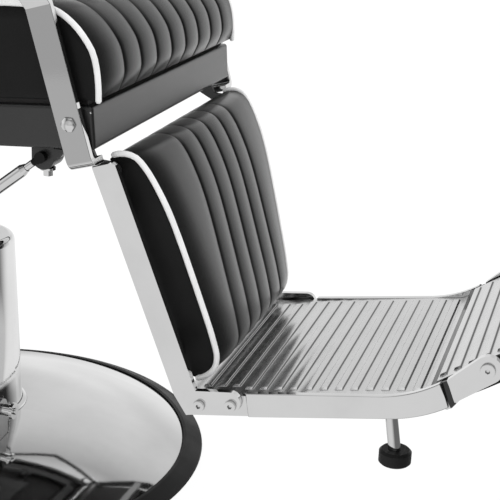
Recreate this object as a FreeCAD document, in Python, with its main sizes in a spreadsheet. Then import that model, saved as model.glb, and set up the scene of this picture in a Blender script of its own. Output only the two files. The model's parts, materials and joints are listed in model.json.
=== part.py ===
import FreeCAD, Part
import math
import os
import Sketcher

# Hydraulic barber chair.
# Frame: +X is the way the sitter faces, +Y is the sitter's left, +Z is up, and the
# origin is on the floor under the axis of the pump column. Lengths are millimetres,
# angles are degrees. The chair stands with its seat about half way up its travel.

Vector = FreeCAD.Vector
Rotation = FreeCAD.Rotation
Placement = FreeCAD.Placement

RIGHT = -1
LEFT = 1
SIDES = ((RIGHT, "right"), (LEFT, "left"))

# Numbers of ribs on the footrest and on its flap.
FOOT_RIBS = 15
SHORT_RIBS = 3
FLAP_RIBS = 7

# Driving dimensions: alias, value, meaning.
SIZES = (
    ("gap_small", 0.3, "clearance between curved neighbours"),
    ("fit_radial", 0.05, "radial clearance of a running fit"),
    ("edge_round", 1.2, "rounding of sheet and bar edges"),
    ("base_radius", 330, "outer radius of the rubber rim"),
    ("rim_height", 14, "height of the rubber rim where the dome starts"),
    ("rim_width", 34, "radial width of the rubber rim"),
    ("rim_lip", 4, "height of the outer edge of the rim"),
    ("dome_edge_radius", 302, "radius of the lower edge of the dome"),
    ("dome_edge_height", 12, "height of the lower edge of the dome"),
    ("dome_mid_radius", 190, "radius of the middle point of the dome"),
    ("dome_mid_height", 54, "height of the middle point of the dome"),
    ("dome_top_radius", 80, "radius at which the dome meets the column"),
    ("dome_top_height", 66, "height at which the dome meets the column"),
    ("dome_sheet", 3, "sheet thickness of the dome"),
    ("hub_radius", 120, "radius of the cast flange under the dome"),
    ("hub_flange_top", 54, "top of the cast flange"),
    ("hub_bolt_radius", 5, "radius of the bolts of the cast hub"),
    ("hub_head_radius", 8, "radius of the hub bolts' heads"),
    ("hub_head_height", 6, "height of the hub bolts' heads"),
    ("hub_flange_thick", 12, "thickness of the cast flange"),
    ("hub_boss_radius", 74, "radius of the boss that stands on the floor plate"),
    ("hub_foot", 0, "height of the boss above the floor"),
    ("column_foot_radius", 71, "outer radius of the column shroud at its foot"),
    ("column_top_radius", 64, "outer radius of the column shroud at its top"),
    ("column_top", 315, "height of the top of the shroud"),
    ("column_sheet", 2.5, "wall of the column shroud"),
    ("column_window_half", 19, "half width of the opening for the pedal lever"),
    ("foot_ring_width", 6, "width of the ring at the foot of the column"),
    ("foot_ring_height", 4, "height of the ring at the foot of the column"),
    ("column_round", 9, "rounding of the top edge of the shroud"),
    ("cylinder_radius", 48, "outer radius of the pump cylinder"),
    ("cylinder_bore", 43, "radius of the piston"),
    ("cylinder_top", 300, "height of the top of the pump cylinder"),
    ("cylinder_foot", 10, "height of the foot of the pump cylinder"),
    ("ram_radius", 32, "radius of the chrome ram"),
    ("ram_top", 452, "height of the shoulder at the top of the ram"),
    ("ram_foot", 148, "height of the foot of the ram"),
    ("piston_height", 28, "height of the piston"),
    ("spigot_radius", 20, "radius of the swivel spigot on the ram"),
    ("spigot_height", 34, "height of the swivel spigot"),
    ("bearing_height", 5, "height of the swivel bearing ring"),
    ("shaft_y", -86, "pedal shaft, distance from the column axis"),
    ("shaft_z", 106, "height of the pedal shaft"),
    ("shaft_radius", 8, "radius of the pedal shaft"),
    ("shaft_back", -42, "rear end of the pedal shaft"),
    ("shaft_front", 108, "front end of the pedal shaft"),
    ("lever_width", 28, "width of the pedal lever"),
    ("lever_x", 15, "middle of the pedal lever along the shaft"),
    ("pedal_y", -350, "outer end of the pedal"),
    ("plunger_radius", 6, "radius of the pump plunger"),
    ("plunger_y", -57, "pump plunger, distance from the column axis"),
    ("seat_front", 292, "front face of the seat box"),
    ("seat_bottom", 517, "lower front edge of the seat box"),
    ("seat_tilt", -4, "nose-up tilt of the seat, about the lower front edge"),
    ("seat_depth", 440, "depth of the seat box"),
    ("seat_half_width", 235, "half width of the seat box"),
    ("skirt_height", 48, "height of the seat box"),
    ("skirt_wall", 14, "wall of the seat box"),
    ("board_thick", 6, "thickness of the seat board"),
    ("board_inset", 9, "how far the seat board is set in"),
    ("frame_tube_height", 22, "height of the seat frame tube"),
    ("frame_tube_low", 16, "underside of the seat frame's tubes above the seat box's foot"),
    ("frame_tube_width", 30, "width of the seat frame tube"),
    ("cushion_height", 102, "height of the seat cushion at its piped edge"),
    ("cushion_side_gap", 2, "how far the cushion sides stand in from the box"),
    ("cushion_crown", 12, "how far the middle of a cushion stands over its edge"),
    ("channel_pitch", 49, "distance between sewn channels"),
    ("channel_depth", 6, "depth of a sewn channel"),
    ("bar_width", 30, "width of the arm bars"),
    ("bar_thick", 8, "thickness of the arm bars"),
    ("bar_inner_y", 240, "inner face of the arm bars where they pass the seat"),
    ("front_bar_x", 281, "foot of the front arm bar"),
    ("front_bar_z", 497, "underside of the front arm bar's foot"),
    ("front_bar_lean", -16, "lean of the front arm bar"),
    ("front_bar_length", 375, "length of the front arm bar"),
    ("front_bolt_height", 51, "lower bolt of the front arm bar, above its foot"),
    ("rear_bolt_height", 47, "lower bolt of the rear arm bar, above its foot"),
    ("upper_bolt_drop", 22, "upper bolts of the arm bars, below their top"),
    ("rear_bar_x", -100, "foot of the rear arm bar"),
    ("rear_bar_z", 474, "underside of the rear arm bar's foot"),
    ("rear_bar_lean", -8, "lean of the rear arm bar"),
    ("rear_bar_length", 387, "length of the rear arm bar"),
    ("jog_start", 180, "height at which the front arm bar steps outward"),
    ("jog_height", 34, "height of the outward step"),
    ("jog_out", 24, "how far the arm bars step outward"),
    ("jog_mitre", 1.27, "half the mitre shift of the outward step"),
    ("bend_outer", 13, "outer radius of the bends of flat bars"),
    ("bend_inner", 5, "inner radius of the bends of flat bars"),
    ("tab_length", 30.5, "length of the bent tabs of the arm bars"),
    ("bolt_head_radius", 8.5, "radius of the domed bolt heads"),
    ("bolt_head_height", 6, "height of the bolt heads"),
    ("bolt_radius", 5, "radius of the arm bolts"),
    ("bolt_hole", 5.2, "radius of the holes for the arm bolts"),
    ("bolt_length", 22, "length of the arm bolts under their heads"),
    ("armrest_top_plate", 5, "thickness of the armrest plates"),
    ("armrest_length", 352, "length of an armrest pad"),
    ("armrest_width", 78, "width of an armrest pad"),
    ("armrest_height", 42, "height of an armrest pad"),
    ("armrest_x", 14, "middle of an armrest pad"),
    ("armrest_z", 861, "underside of an armrest plate"),
    ("armrest_y", 253, "middle of an armrest pad, from the chair's middle"),
    ("hinge_x", 300, "leg rest hinge"),
    ("hinge_z", 488.4, "leg rest hinge"),
    ("leg_x", 294, "reference point at the top of the leg rest"),
    ("leg_z", 497, "reference point at the top of the leg rest"),
    ("hinge_pin_radius", 6, "radius of the hinge pins"),
    ("hinge_lug_radius", 12, "radius of the hinge lugs"),
    ("hinge_lug_thick", 6, "thickness of the hinge lugs"),
    ("hinge_lug_y", 209, "outer face of the backrest's hinge lugs and of the crank"),
    ("bracket_y", 210.2, "inner face of the backrest's hinge brackets"),
    ("bracket_thick", 5, "thickness of the hinge brackets"),
    ("leg_bracket_y", 202.4, "inner face of the leg rest's hinge brackets"),
    ("leg_bracket_eye", 10, "radius of the eyes of the leg rest's hinge brackets"),
    ("leg_pin_end", 215, "blind end of the leg rest's hinge pins"),
    ("pin_head_thick", 1.6, "thickness of the hinge pins' heads"),
    ("leg_lean", -18, "lean of the leg rest, feet forward"),
    ("leg_bar_width", 28, "width of the leg rest bars"),
    ("leg_bar_thick", 8, "thickness of the leg rest bars"),
    ("leg_bar_top", 0, "top of the leg rest bars"),
    ("leg_bar_chamfer", 3.5, "chamfer at the front of the leg rest bars' tops"),
    ("leg_bar_foot", -289, "lower end of the straight run of the leg rest bars"),
    ("leg_top_y", 218.2, "outer face of the leg rest bars at their top"),
    ("leg_foot_y", 182, "outer face of the leg rest bars at their foot"),
    ("leg_foot_reach", 60, "how far the feet of the leg rest bars reach forward"),
    ("leg_foot_height", 25.5, "height of the feet of the leg rest bars"),
    ("leg_foot_heel", -9.6, "rear corner of the feet of the leg rest bars"),
    ("leg_foot_low", -21.8, "height of that corner"),
    ("leg_foot_slope", 0.064, "rise of the feet against the footrest"),
    ("leg_cushion_length", 291.5, "length of the leg rest cushion"),
    ("leg_cushion_top", 6.5, "top of the leg rest cushion"),
    ("leg_cushion_thick", 47, "thickness of the leg rest cushion"),
    ("leg_cushion_base", 0.5, "rear face of the leg rest cushion"),
    ("leg_cushion_top_half", 200, "half width of the leg rest cushion at its top"),
    ("leg_cushion_foot_half", 150, "half width of the leg rest cushion at its foot"),
    ("leg_channel_pitch", 46, "distance between the channels of the leg rest"),
    ("leg_board_half", 176, "half width of the leg rest's board at its top"),
    ("leg_board_foot_half", 138, "half width of the leg rest's board at its foot"),
    ("leg_board_foot", -274, "foot of the leg rest's board"),
    ("crossbar_height", 24, "height of the leg rest's cross bars"),
    ("crossbar_thick", 5, "thickness of the leg rest's cross bars"),
    ("crank_radius", 62, "radius of the recline cranks"),
    ("crank_back", 25, "angle of the recline cranks behind straight down"),
    ("crank_half_width", 9, "half width of the recline cranks"),
    ("crank_pin_radius", 5, "radius of the recline cranks' pins"),
    ("link_half_height", 6, "half height of the recline link"),
    ("link_thick", 6, "thickness of the recline link"),
    ("link_knee_x", 118.5, "bend of the recline link"),
    ("link_knee_z", 373.6, "bend of the recline link"),
    ("lock_y", 140, "lock cylinder, from the chair's middle"),
    ("lock_z", 479, "height of the lock cylinder's axis"),
    ("lock_front", 80, "front pin of the lock cylinder"),
    ("lock_rear", -130, "rear end of the lock cylinder's tube"),
    ("lock_radius", 13, "radius of the lock cylinder"),
    ("lock_stem_radius", 5, "radius of the lock cylinder's rod and pins"),
    ("lock_stem_front", -22, "front end of the rod in the lock cylinder"),
    ("lock_ear_thick", 5, "thickness of the lock bracket's ears"),
    ("slot_arm_reach", 98, "length of the backrest's slotted arms"),
    ("slot_arm_half", 10.5, "half width of the slotted arms"),
    ("slot_half_width", 6.6, "half width of the slots for the lock rod's pin"),
    ("foot_x", 392, "rear edge of the footrest plate"),
    ("foot_z", 216.7, "height of the rear edge of the footrest plate"),
    ("foot_tilt", -9.5, "rise of the footrest towards the toes"),
    ("foot_back", -14, "rear end of the footrest plate under the cushion"),
    ("foot_length", 279, "front end of the footrest plate"),
    ("foot_half_width", 166, "half width of the footrest plate"),
    ("foot_thick", 6, "thickness of the footrest plate"),
    ("rib_pitch", 18.2, "distance between the ribs of the footrest"),
    ("rib_width", 9.4, "width of a footrest rib"),
    ("rib_start", 9, "middle of the first footrest rib"),
    ("rib_height", 2.2, "height of a footrest rib"),
    ("rib_half_length", 155, "half length of a footrest rib"),
    ("short_rib_inset", 8, "how much shorter the rear ribs are at each end"),
    ("rib_end_slope", 3, "length of the slope at each end of a rib"),
    ("foot_edge_depth", 16, "depth of the edge turned down at the front of the footrest plate"),
    ("rail_thick", 9, "thickness of the footrest side rails"),
    ("rail_height", 27.2, "foot of the footrest side rails under the plate's face"),
    ("foot_bolt_first", 9, "rear bolt of the footrest, from the plate's rear edge"),
    ("foot_bolt_second", 48, "front bolt of the footrest, from the plate's rear edge"),
    ("foot_bolt_drop", 9.2, "bolts of the footrest, below the plate"),
    ("foot_bolt_radius", 4, "radius of the footrest bolts"),
    ("foot_bolt_hole", 4.2, "radius of the holes for the footrest bolts"),
    ("foot_bolt_cap", 6.5, "radius of the footrest bolts' heads"),
    ("screw_socket", 3, "radius of a screw's hexagon socket"),
    ("socket_depth", 3, "depth of a screw's hexagon socket"),
    ("flap_x", 730, "flap pivot"),
    ("flap_z", 306, "flap pivot"),
    ("flap_tilt", -34, "rise of the flap at rest"),
    ("flap_half_length", 64, "half length of the flap"),
    ("flap_half_width", 161, "half width of the flap"),
    ("flap_thick", 7, "thickness of the flap plate"),
    ("flap_pad_thick", 31, "thickness of the pad on the back of the flap"),
    ("flap_pad_half_width", 154.5, "half width of the pad on the back of the flap"),
    ("pivot_boss_radius", 16, "radius of the flap's pivot bosses"),
    ("pivot_pin_radius", 5, "radius of the flap's pivot screws"),
    ("post_along", 218.5, "support post, from the rear edge of the footrest plate"),
    ("post_y", 100, "support post, from the chair's middle"),
    ("post_radius", 7.6, "radius of a support post"),
    ("post_length", 101, "length of a support post"),
    ("post_foot", 137, "height of the underside of the rubber feet"),
    ("foot_pad_radius", 19.8, "radius of the rubber feet"),
    ("foot_pad_height", 18, "height of the rubber feet"),
    ("lever_pivot_x", 221, "pivot of the recline lever"),
    ("lever_pivot_z", 498.6, "pivot of the recline lever"),
    ("lever_y", -204, "middle of the lever housing"),
    ("lever_drop", 38, "how far the recline lever points below level"),
    ("lever_plane", -221.6, "middle of the lever's rod"),
    ("lever_stem_radius", 4.2, "radius of the recline lever's rod"),
    ("lever_stem_length", 155, "length of the recline lever's rod"),
    ("grip_radius", 7, "radius of the recline lever's grip"),
    ("grip_length", 130, "length of the recline lever's grip"),
    ("grip_start", 29, "start of the grip along the lever"),
    ("housing_half", 13.5, "half width of the lever housing"),
    ("housing_bolt_radius", 9, "radius of the flange of the bolt under the lever housing"),
    ("back_hinge_x", -196, "backrest hinge"),
    ("back_hinge_z", 556, "backrest hinge"),
    ("back_lean", -9, "lean of the backrest at rest"),
    ("back_half_width", 206, "half width of the backrest"),
    ("back_height", 500, "height of the backrest cushion"),
    ("back_start", 106, "foot of the backrest cushion above the hinge"),
    ("back_thick", 78, "thickness of the backrest cushion"),
    ("back_panel_thick", 12, "thickness of the backrest's rear panel"),
    ("back_tube_y", 150, "uprights of the backrest frame"),
    ("back_tube_half", 12, "half width of the backrest frame's tube"),
    ("back_tube_rear", -18, "rear face of the backrest frame's tube"),
    ("back_tube_front", 6, "front face of the backrest frame's tube"),
    ("tube_wall", 2, "wall of the square tubes"),
    ("back_panel_face", -20, "front face of the backrest's rear panel"),
    ("head_post_gap", 46, "half distance between the headrest bars"),
    ("head_post_radius", 7, "radius of the headrest bars"),
    ("head_cross_radius", 6, "radius of the headrest's cross bar"),
    ("head_bar_x", -6, "headrest bars, in the backrest's frame"),
    ("head_half_width", 135, "half width of the headrest cushion"),
    ("head_height", 118, "height of the headrest cushion"),
    ("head_thick", 66, "thickness of the headrest cushion"),
    ("head_gap", 76, "height of the headrest's middle above the backrest"),
)

doc = FreeCAD.newDocument("barber_chair")
sheet = doc.addObject("Spreadsheet::Sheet", "Sizes")
for row, (alias, value, meaning) in enumerate(SIZES, start=1):
    sheet.set(f"A{row}", alias)
    sheet.set(f"B{row}", str(value))
    sheet.setAlias(f"B{row}", alias)
    sheet.set(f"C{row}", meaning)
doc.recompute()


class Size:
    """A length that carries the sheet expression it is worked out from."""

    def __init__(self, value, text):
        self.value = float(value)
        self.text = text

    def __add__(self, other):
        other = as_size(other)
        return Size(self.value + other.value, f"({self.text} + {other.text})")

    def __sub__(self, other):
        other = as_size(other)
        return Size(self.value - other.value, f"({self.text} - {other.text})")

    def __mul__(self, other):
        other = as_size(other)
        return Size(self.value * other.value, f"({self.text} * {other.text})")

    def __truediv__(self, other):
        other = as_size(other)
        return Size(self.value / other.value, f"({self.text} / {other.text})")

    def __radd__(self, other):
        return as_size(other) + self

    def __rsub__(self, other):
        return as_size(other) - self

    def __rmul__(self, other):
        return as_size(other) * self

    def __neg__(self):
        return as_size(0) - self

    def __float__(self):
        return self.value


def as_size(number):
    if isinstance(number, Size):
        return number
    return Size(number, f"({number:.6g})")


class SheetSizes:
    """Gives each cell of the sheet by its alias."""

    def __getattr__(self, alias):
        return Size(sheet.get(alias), f"Sizes.{alias}")


S = SheetSizes()


def bind(thing, target, amount):
    """Sets a property from the sheet, by an expression."""
    thing.setExpression(target, as_size(amount).text)


class Frame:
    """A tilted frame in which a group of pieces is drawn: origin and turn about Y."""

    def __init__(self, x, z, turn):
        self.x = as_size(x)
        self.z = as_size(z)
        self.turn = as_size(turn)

    def placement(self):
        turn = Rotation(Vector(0, 1, 0), float(self.turn))
        return Placement(Vector(float(self.x), 0, float(self.z)), turn)

    def give(self, thing):
        thing.Placement = self.placement()
        bind(thing, "Placement.Base.x", self.x)
        bind(thing, "Placement.Base.z", self.z)

    def point(self, x, y, z):
        return self.placement().multVec(Vector(float(x), float(y), float(z)))

    def local(self, x, z):
        """The frame's own coordinates of a point given in the chair's frame."""
        spot = self.placement().inverse().multVec(Vector(float(x), 0, float(z)))
        return spot.x, spot.z


WORLD = Frame(0, 0, 0)
SEAT = Frame(S.seat_front, S.seat_bottom, S.seat_tilt)
LEG = Frame(S.leg_x, S.leg_z, S.leg_lean)
FOOT = Frame(S.foot_x, S.foot_z, S.foot_tilt)
FLAP = Frame(S.flap_x, S.flap_z, S.flap_tilt)
BACK = Frame(S.back_hinge_x, S.back_hinge_z, S.back_lean)
FRONT_BAR = Frame(S.front_bar_x, S.front_bar_z, S.front_bar_lean)
REAR_BAR = Frame(S.rear_bar_x, S.rear_bar_z, S.rear_bar_lean)

kept = []


def keep(thing, label):
    """Names a finished sub-part and lists it for export."""
    thing.Label = label
    kept.append(thing)
    return thing


def origin_plane(body, role):
    for feature in body.Origin.OriginFeatures:
        if feature.Role == role:
            return feature
    raise RuntimeError("no such plane: " + role)


def new_sketch(body, name, role, offset=0):
    sketch = body.newObject("Sketcher::SketchObject", name)
    sketch.AttachmentSupport = [(origin_plane(body, role), "")]
    sketch.MapMode = "FlatFace"
    sketch.AttachmentOffset = Placement(Vector(0, 0, float(offset)), Rotation())
    bind(sketch, "AttachmentOffset.Base.z", offset)
    return sketch


def pin_point(sketch, geometry, corner, point, name):
    """Holds one sketch point at coordinates from the sheet."""
    for kind, letter, amount in (("DistanceX", "x", point[0]), ("DistanceY", "y", point[1])):
        amount = as_size(amount)
        constraint = Sketcher.Constraint(kind, -1, 1, geometry, corner, amount.value)
        index = sketch.addConstraint(constraint)
        sketch.renameConstraint(index, f"{letter}{name}")
        bind(sketch, f"Constraints.{letter}{name}", amount)


def draw_polygon(sketch, points):
    """A closed outline. A corner is (a, b), or (a, b, mid_a, mid_b) where an arc leads to it."""
    first = sketch.GeometryCount
    count = len(points)
    corners = [Vector(float(as_size(p[0])), float(as_size(p[1])), 0) for p in points]
    ends = []
    arcs = []
    for index in range(count):
        start, target = corners[index], points[(index + 1) % count]
        finish = corners[(index + 1) % count]
        if len(target) == 4:
            middle = Vector(float(as_size(target[2])), float(as_size(target[3])), 0)
            edge = sketch.addGeometry(Part.Arc(start, middle, finish), False)
            straight = sketch.getPoint(edge, 1).distanceToPoint(start) < 1e-4
            ends.append((edge, 1, 2) if straight else (edge, 2, 1))
            arcs.append((edge, target[2], target[3]))
        else:
            edge = sketch.addGeometry(Part.LineSegment(start, finish), False)
            ends.append((edge, 1, 2))
    for index in range(count):
        edge, _, finish = ends[index]
        following, start, _ = ends[(index + 1) % count]
        sketch.addConstraint(Sketcher.Constraint("Coincident", edge, finish, following, start))
    for index in range(count):
        edge, start, _ = ends[index]
        pin_point(sketch, edge, start, points[index][:2], str(first + index))
    for edge, a, b in arcs:
        spot = Vector(float(as_size(a)), float(as_size(b)), 0)
        mark = sketch.addGeometry(Part.Point(spot), True)
        pin_point(sketch, mark, 1, (a, b), f"{mark}m")
        sketch.addConstraint(Sketcher.Constraint("PointOnObject", mark, 1, edge))


def draw_circle(sketch, centre, radius):
    middle = Vector(float(as_size(centre[0])), float(as_size(centre[1])), 0)
    index = sketch.addGeometry(Part.Circle(middle, Vector(0, 0, 1), float(as_size(radius))), False)
    pin_point(sketch, index, 3, centre, str(index))
    place = sketch.addConstraint(Sketcher.Constraint("Radius", index, float(as_size(radius))))
    sketch.renameConstraint(place, f"r{index}")
    bind(sketch, f"Constraints.r{index}", radius)


def new_body(label):
    return doc.addObject("PartDesign::Body", "Body_" + label)


# Sketch planes, as the way their normal points along the frame's own axis.
NORMAL_SIGN = {"XY_Plane": 1, "XZ_Plane": -1, "YZ_Plane": 1}


def slab(label, role, points, low, high, holes=(), round_all=None, frame=WORLD):
    """A padded outline between two stations along the normal axis of its plane."""
    body = new_body(label)
    low, high = as_size(low), as_size(high)
    start = low if NORMAL_SIGN[role] > 0 else -high
    sketch = new_sketch(body, "Outline_" + label, role, start)
    draw_polygon(sketch, points)
    for centre, radius in holes:
        draw_circle(sketch, centre, radius)
    pad = body.newObject("PartDesign::Pad", "Pad_" + label)
    pad.Profile = sketch
    bind(pad, "Length", high - low)
    body.Tip = pad
    frame.give(body)
    if round_all is not None:
        doc.recompute()
        round_edges(body, label, None, round_all)
    return body


def round_edges(body, label, chosen, radius):
    """Rounds the chosen edges of a body's tip, or all of them."""
    base = body.Tip
    fillet = body.newObject("PartDesign::Fillet", f"Round_{label}_{len(body.Group)}")
    if chosen is None:
        fillet.Base = (base, [""])
        fillet.UseAllEdges = True
    else:
        fillet.Base = (base, chosen)
    bind(fillet, "Radius", radius)
    base.Visibility = False
    body.Tip = fillet
    doc.recompute()
    return fillet


def edges_through(shape, points, slack=0.5):
    """Names of the edges whose middle lies on a line through one of the points."""
    names = []
    for number, edge in enumerate(shape.Edges, start=1):
        middle = edge.CenterOfMass
        for point, axes in points:
            if all(abs(getattr(middle, a) - getattr(point, a)) < slack for a in axes):
                names.append(f"Edge{number}")
                break
    return names


def turned(label, points, frame=WORLD):
    """A revolved outline about the Z axis; points are radius and height."""
    body = new_body(label)
    sketch = new_sketch(body, "Profile_" + label, "XZ_Plane")
    draw_polygon(sketch, points)
    spin = body.newObject("PartDesign::Revolution", "Turned_" + label)
    spin.Profile = sketch
    spin.ReferenceAxis = (sketch, ["V_Axis"])
    spin.Angle = 360
    body.Tip = spin
    frame.give(body)
    return body


def box(name, low, high, frame=WORLD):
    """A Part box between two corners of a frame."""
    piece = doc.addObject("Part::Box", name)
    low = [as_size(a) for a in low]
    high = [as_size(a) for a in high]
    for target, a, b in zip(("Length", "Width", "Height"), low, high):
        bind(piece, target, b - a)
    corner = frame.point(*low)
    piece.Placement = Placement(corner, frame.placement().Rotation)
    if frame is WORLD:
        for letter, a in zip("xyz", low):
            bind(piece, f"Placement.Base.{letter}", a)
    return piece


TURNS = {
    "x": Rotation(Vector(0, 1, 0), 90),
    "y": Rotation(Vector(1, 0, 0), -90),
    "z": Rotation(),
}


def rod(name, radius, start, length, axis="z", frame=WORLD):
    """A Part cylinder from a start point along an axis of a frame."""
    piece = doc.addObject("Part::Cylinder", name)
    bind(piece, "Radius", radius)
    bind(piece, "Height", length)
    start = [as_size(a) for a in start]
    turn = frame.placement().Rotation.multiply(TURNS[axis])
    piece.Placement = Placement(frame.point(*start), turn)
    if frame is WORLD:
        for letter, a in zip("xyz", start):
            bind(piece, f"Placement.Base.{letter}", a)
    return piece


def joined(name, pieces):
    union = doc.addObject("Part::MultiFuse", name)
    union.Shapes = pieces
    union.Refine = True
    return union


def grouped(name, pieces):
    """Separate solids that share one node."""
    group = doc.addObject("Part::Compound", name)
    group.Links = pieces
    return group


def without(name, base, tools):
    """A piece with the tools cut out of it."""
    current = base
    for number, tool in enumerate(tools, start=1):
        cut = doc.addObject("Part::Cut", f"{name}_{number}")
        cut.Base = current
        cut.Tool = tool
        cut.Refine = True
        current = cut
    return current


# Base: rubber rim, chrome dome, cast hub and pump column.

def dome_side(offset):
    """Corners of the dome's arc, set in by an offset, from its edge to the column."""
    return (
        (S.dome_edge_radius, S.dome_edge_height - offset),
        (
            S.dome_top_radius,
            S.dome_top_height - offset,
            S.dome_mid_radius,
            S.dome_mid_height - offset,
        ),
    )


def make_base():
    rim_inner = S.base_radius - S.rim_width
    rim = turned("base_rim", [
        (rim_inner, 0),
        (S.base_radius - 2, 0),
        (S.base_radius, 2),
        (S.base_radius - 1, S.rim_lip),
        (S.dome_edge_radius + 5, S.rim_height),
        (S.dome_edge_radius + 0.5, S.rim_height),
        (S.dome_edge_radius + 0.5, S.dome_edge_height - S.dome_sheet - 0.5),
        (rim_inner, S.dome_edge_height - S.dome_sheet - 0.5),
    ])
    keep(rim, "base_rim")

    edge, top = dome_side(0)
    inner_edge, inner_top = dome_side(S.dome_sheet)
    dome = turned("base_dome", [
        edge,
        top,
        (S.dome_top_radius - 5, S.dome_top_height),
        (S.dome_top_radius - 5, S.dome_top_height - S.dome_sheet),
        inner_top[:2],
        (inner_edge[0], inner_edge[1], inner_top[2], inner_top[3]),
    ])
    keep(dome, "base_dome")

    flange_foot = S.hub_flange_top - S.hub_flange_thick
    boss = S.hub_boss_radius
    bore = S.cylinder_radius + S.gap_small
    hub = turned("hub_turned", [
        (0, S.hub_foot),
        (boss + 40, S.hub_foot),
        (boss + 40, S.hub_foot + 6),
        (boss - 6, S.hub_foot + 12),
        (boss - 6, flange_foot - 6),
        (boss, flange_foot),
        (S.hub_radius, flange_foot),
        (S.hub_radius, S.hub_flange_top),
        (bore, S.hub_flange_top),
        (bore, S.cylinder_foot - S.gap_small),
        (0, S.cylinder_foot - S.gap_small),
    ])
    bolt_circle = boss + 26
    holes = []
    bolts = []
    for number in range(6):
        turn = math.radians(60 * number + 30)
        x, y = bolt_circle * math.cos(turn), bolt_circle * math.sin(turn)
        hole_radius = S.hub_bolt_radius + 0.2
        holes.append(rod(f"HubHole{number}", hole_radius, (x, y, flange_foot - 1), S.hub_flange_thick + 2))
        shank_foot = flange_foot - 4
        shank = rod(f"HubShank{number}", S.hub_bolt_radius, (x, y, shank_foot), S.hub_flange_thick + 4)
        head = doc.addObject("Part::Prism", f"HubHead{number}")
        head.Polygon = 6
        bind(head, "Circumradius", S.hub_head_radius)
        bind(head, "Height", S.hub_head_height)
        head_foot = float(shank_foot - S.hub_head_height)
        head.Placement = Placement(Vector(float(x), float(y), head_foot), Rotation())
        bolts.append(joined(f"HubBolt{number}", [shank, head]))
    plunger_bore = rod(
        "PlungerBore", S.plunger_radius + S.fit_radial, (S.lever_x, S.plunger_y, 8), 80
    )
    keep(without("HubCast", hub, holes + [plunger_bore]), "base_hub")
    keep(grouped("HubBolts", bolts), "hub_bolts")


def make_column():
    foot_z = S.dome_top_height + 0.4
    slope = (S.column_foot_radius - S.column_top_radius) / (S.column_top - foot_z)
    round_z = S.column_top - S.column_round
    round_r = S.column_top_radius + slope * S.column_round
    mouth = S.ram_radius + 9
    half = 0.293 * S.column_round
    shroud = turned("shroud_turned", [
        (S.column_foot_radius, foot_z),
        (round_r, round_z),
        (
            S.column_top_radius - S.column_round,
            S.column_top,
            S.column_top_radius - half,
            S.column_top - half,
        ),
        (mouth, S.column_top),
        (mouth, S.column_top - S.column_sheet),
        (S.column_top_radius - S.column_round, S.column_top - S.column_sheet),
        (round_r - S.column_sheet, round_z - S.column_sheet),
        (S.column_foot_radius - S.column_sheet, foot_z),
    ])
    window = box(
        "FingerWindow",
        (S.lever_x - S.column_window_half, S.shaft_y + 4, foot_z + 2),
        (S.lever_x + S.column_window_half, -50, S.shaft_z + 27),
    )
    keep(without("Shroud", shroud, [window]), "pump_column")

    seal = turned("column_seal", [
        (S.ram_radius + S.fit_radial, S.column_top - 6),
        (mouth - S.gap_small, S.column_top - 6),
        (mouth - S.gap_small, S.column_top + 0.5),
        (mouth + 3, S.column_top + 0.5),
        (mouth + 1, S.column_top + 5),
        (S.ram_radius + S.fit_radial, S.column_top + 6),
    ])
    keep(seal, "column_seal")

    ring_inner = S.column_foot_radius + 0.4
    ring_foot = S.dome_top_height + 0.4
    ring_top = ring_foot + S.foot_ring_height
    ring = turned("column_foot_ring", [
        (ring_inner, ring_foot),
        (ring_inner + S.foot_ring_width, ring_foot),
        (ring_inner + S.foot_ring_width - 1, ring_foot + 2),
        (ring_inner + 1.5, ring_top),
        (ring_inner, ring_top),
    ])
    ring_gap = box(
        "RingGap",
        (S.lever_x - S.column_window_half, S.shaft_y, S.dome_top_height - 2),
        (S.lever_x + S.column_window_half, -50, S.dome_top_height + 12),
    )
    keep(without("FootRing", ring, [ring_gap]), "column_foot_ring")

    cylinder = turned("pump_cylinder", [
        (0, S.cylinder_foot),
        (S.cylinder_radius, S.cylinder_foot),
        (S.cylinder_radius, S.cylinder_top),
        (S.ram_radius + S.fit_radial, S.cylinder_top),
        (S.ram_radius + S.fit_radial, S.cylinder_top - 12),
        (S.cylinder_bore + S.fit_radial, S.cylinder_top - 12),
        (S.cylinder_bore + S.fit_radial, S.cylinder_foot + 6),
        (0, S.cylinder_foot + 6),
    ])
    keep(cylinder, "pump_cylinder")


def make_ram():
    ram = turned("ram_rod", [
        (0, S.ram_foot),
        (S.ram_radius, S.ram_foot),
        (S.ram_radius, S.ram_top - 2),
        (S.ram_radius - 2, S.ram_top),
        (S.spigot_radius, S.ram_top),
        (S.spigot_radius, S.ram_top + S.spigot_height - 2),
        (S.spigot_radius - 2, S.ram_top + S.spigot_height),
        (0, S.ram_top + S.spigot_height),
    ])
    keep(ram, "ram_rod")
    piston = turned("ram_piston", [
        (0, S.ram_foot - S.piston_height),
        (S.cylinder_bore - 2, S.ram_foot - S.piston_height),
        (S.cylinder_bore, S.ram_foot - S.piston_height + 2),
        (S.cylinder_bore, S.ram_foot - 2),
        (S.cylinder_bore - 2, S.ram_foot),
        (0, S.ram_foot),
    ])
    keep(piston, "ram_piston")
    bearing = turned("swivel_bearing", [
        (S.spigot_radius + S.gap_small, S.ram_top),
        (S.ram_radius + 8, S.ram_top),
        (S.ram_radius + 9, S.ram_top + 1),
        (S.ram_radius + 9, S.ram_top + S.bearing_height - 1),
        (S.ram_radius + 8, S.ram_top + S.bearing_height),
        (S.spigot_radius + S.gap_small, S.ram_top + S.bearing_height),
    ])
    keep(bearing, "swivel_bearing")


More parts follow.
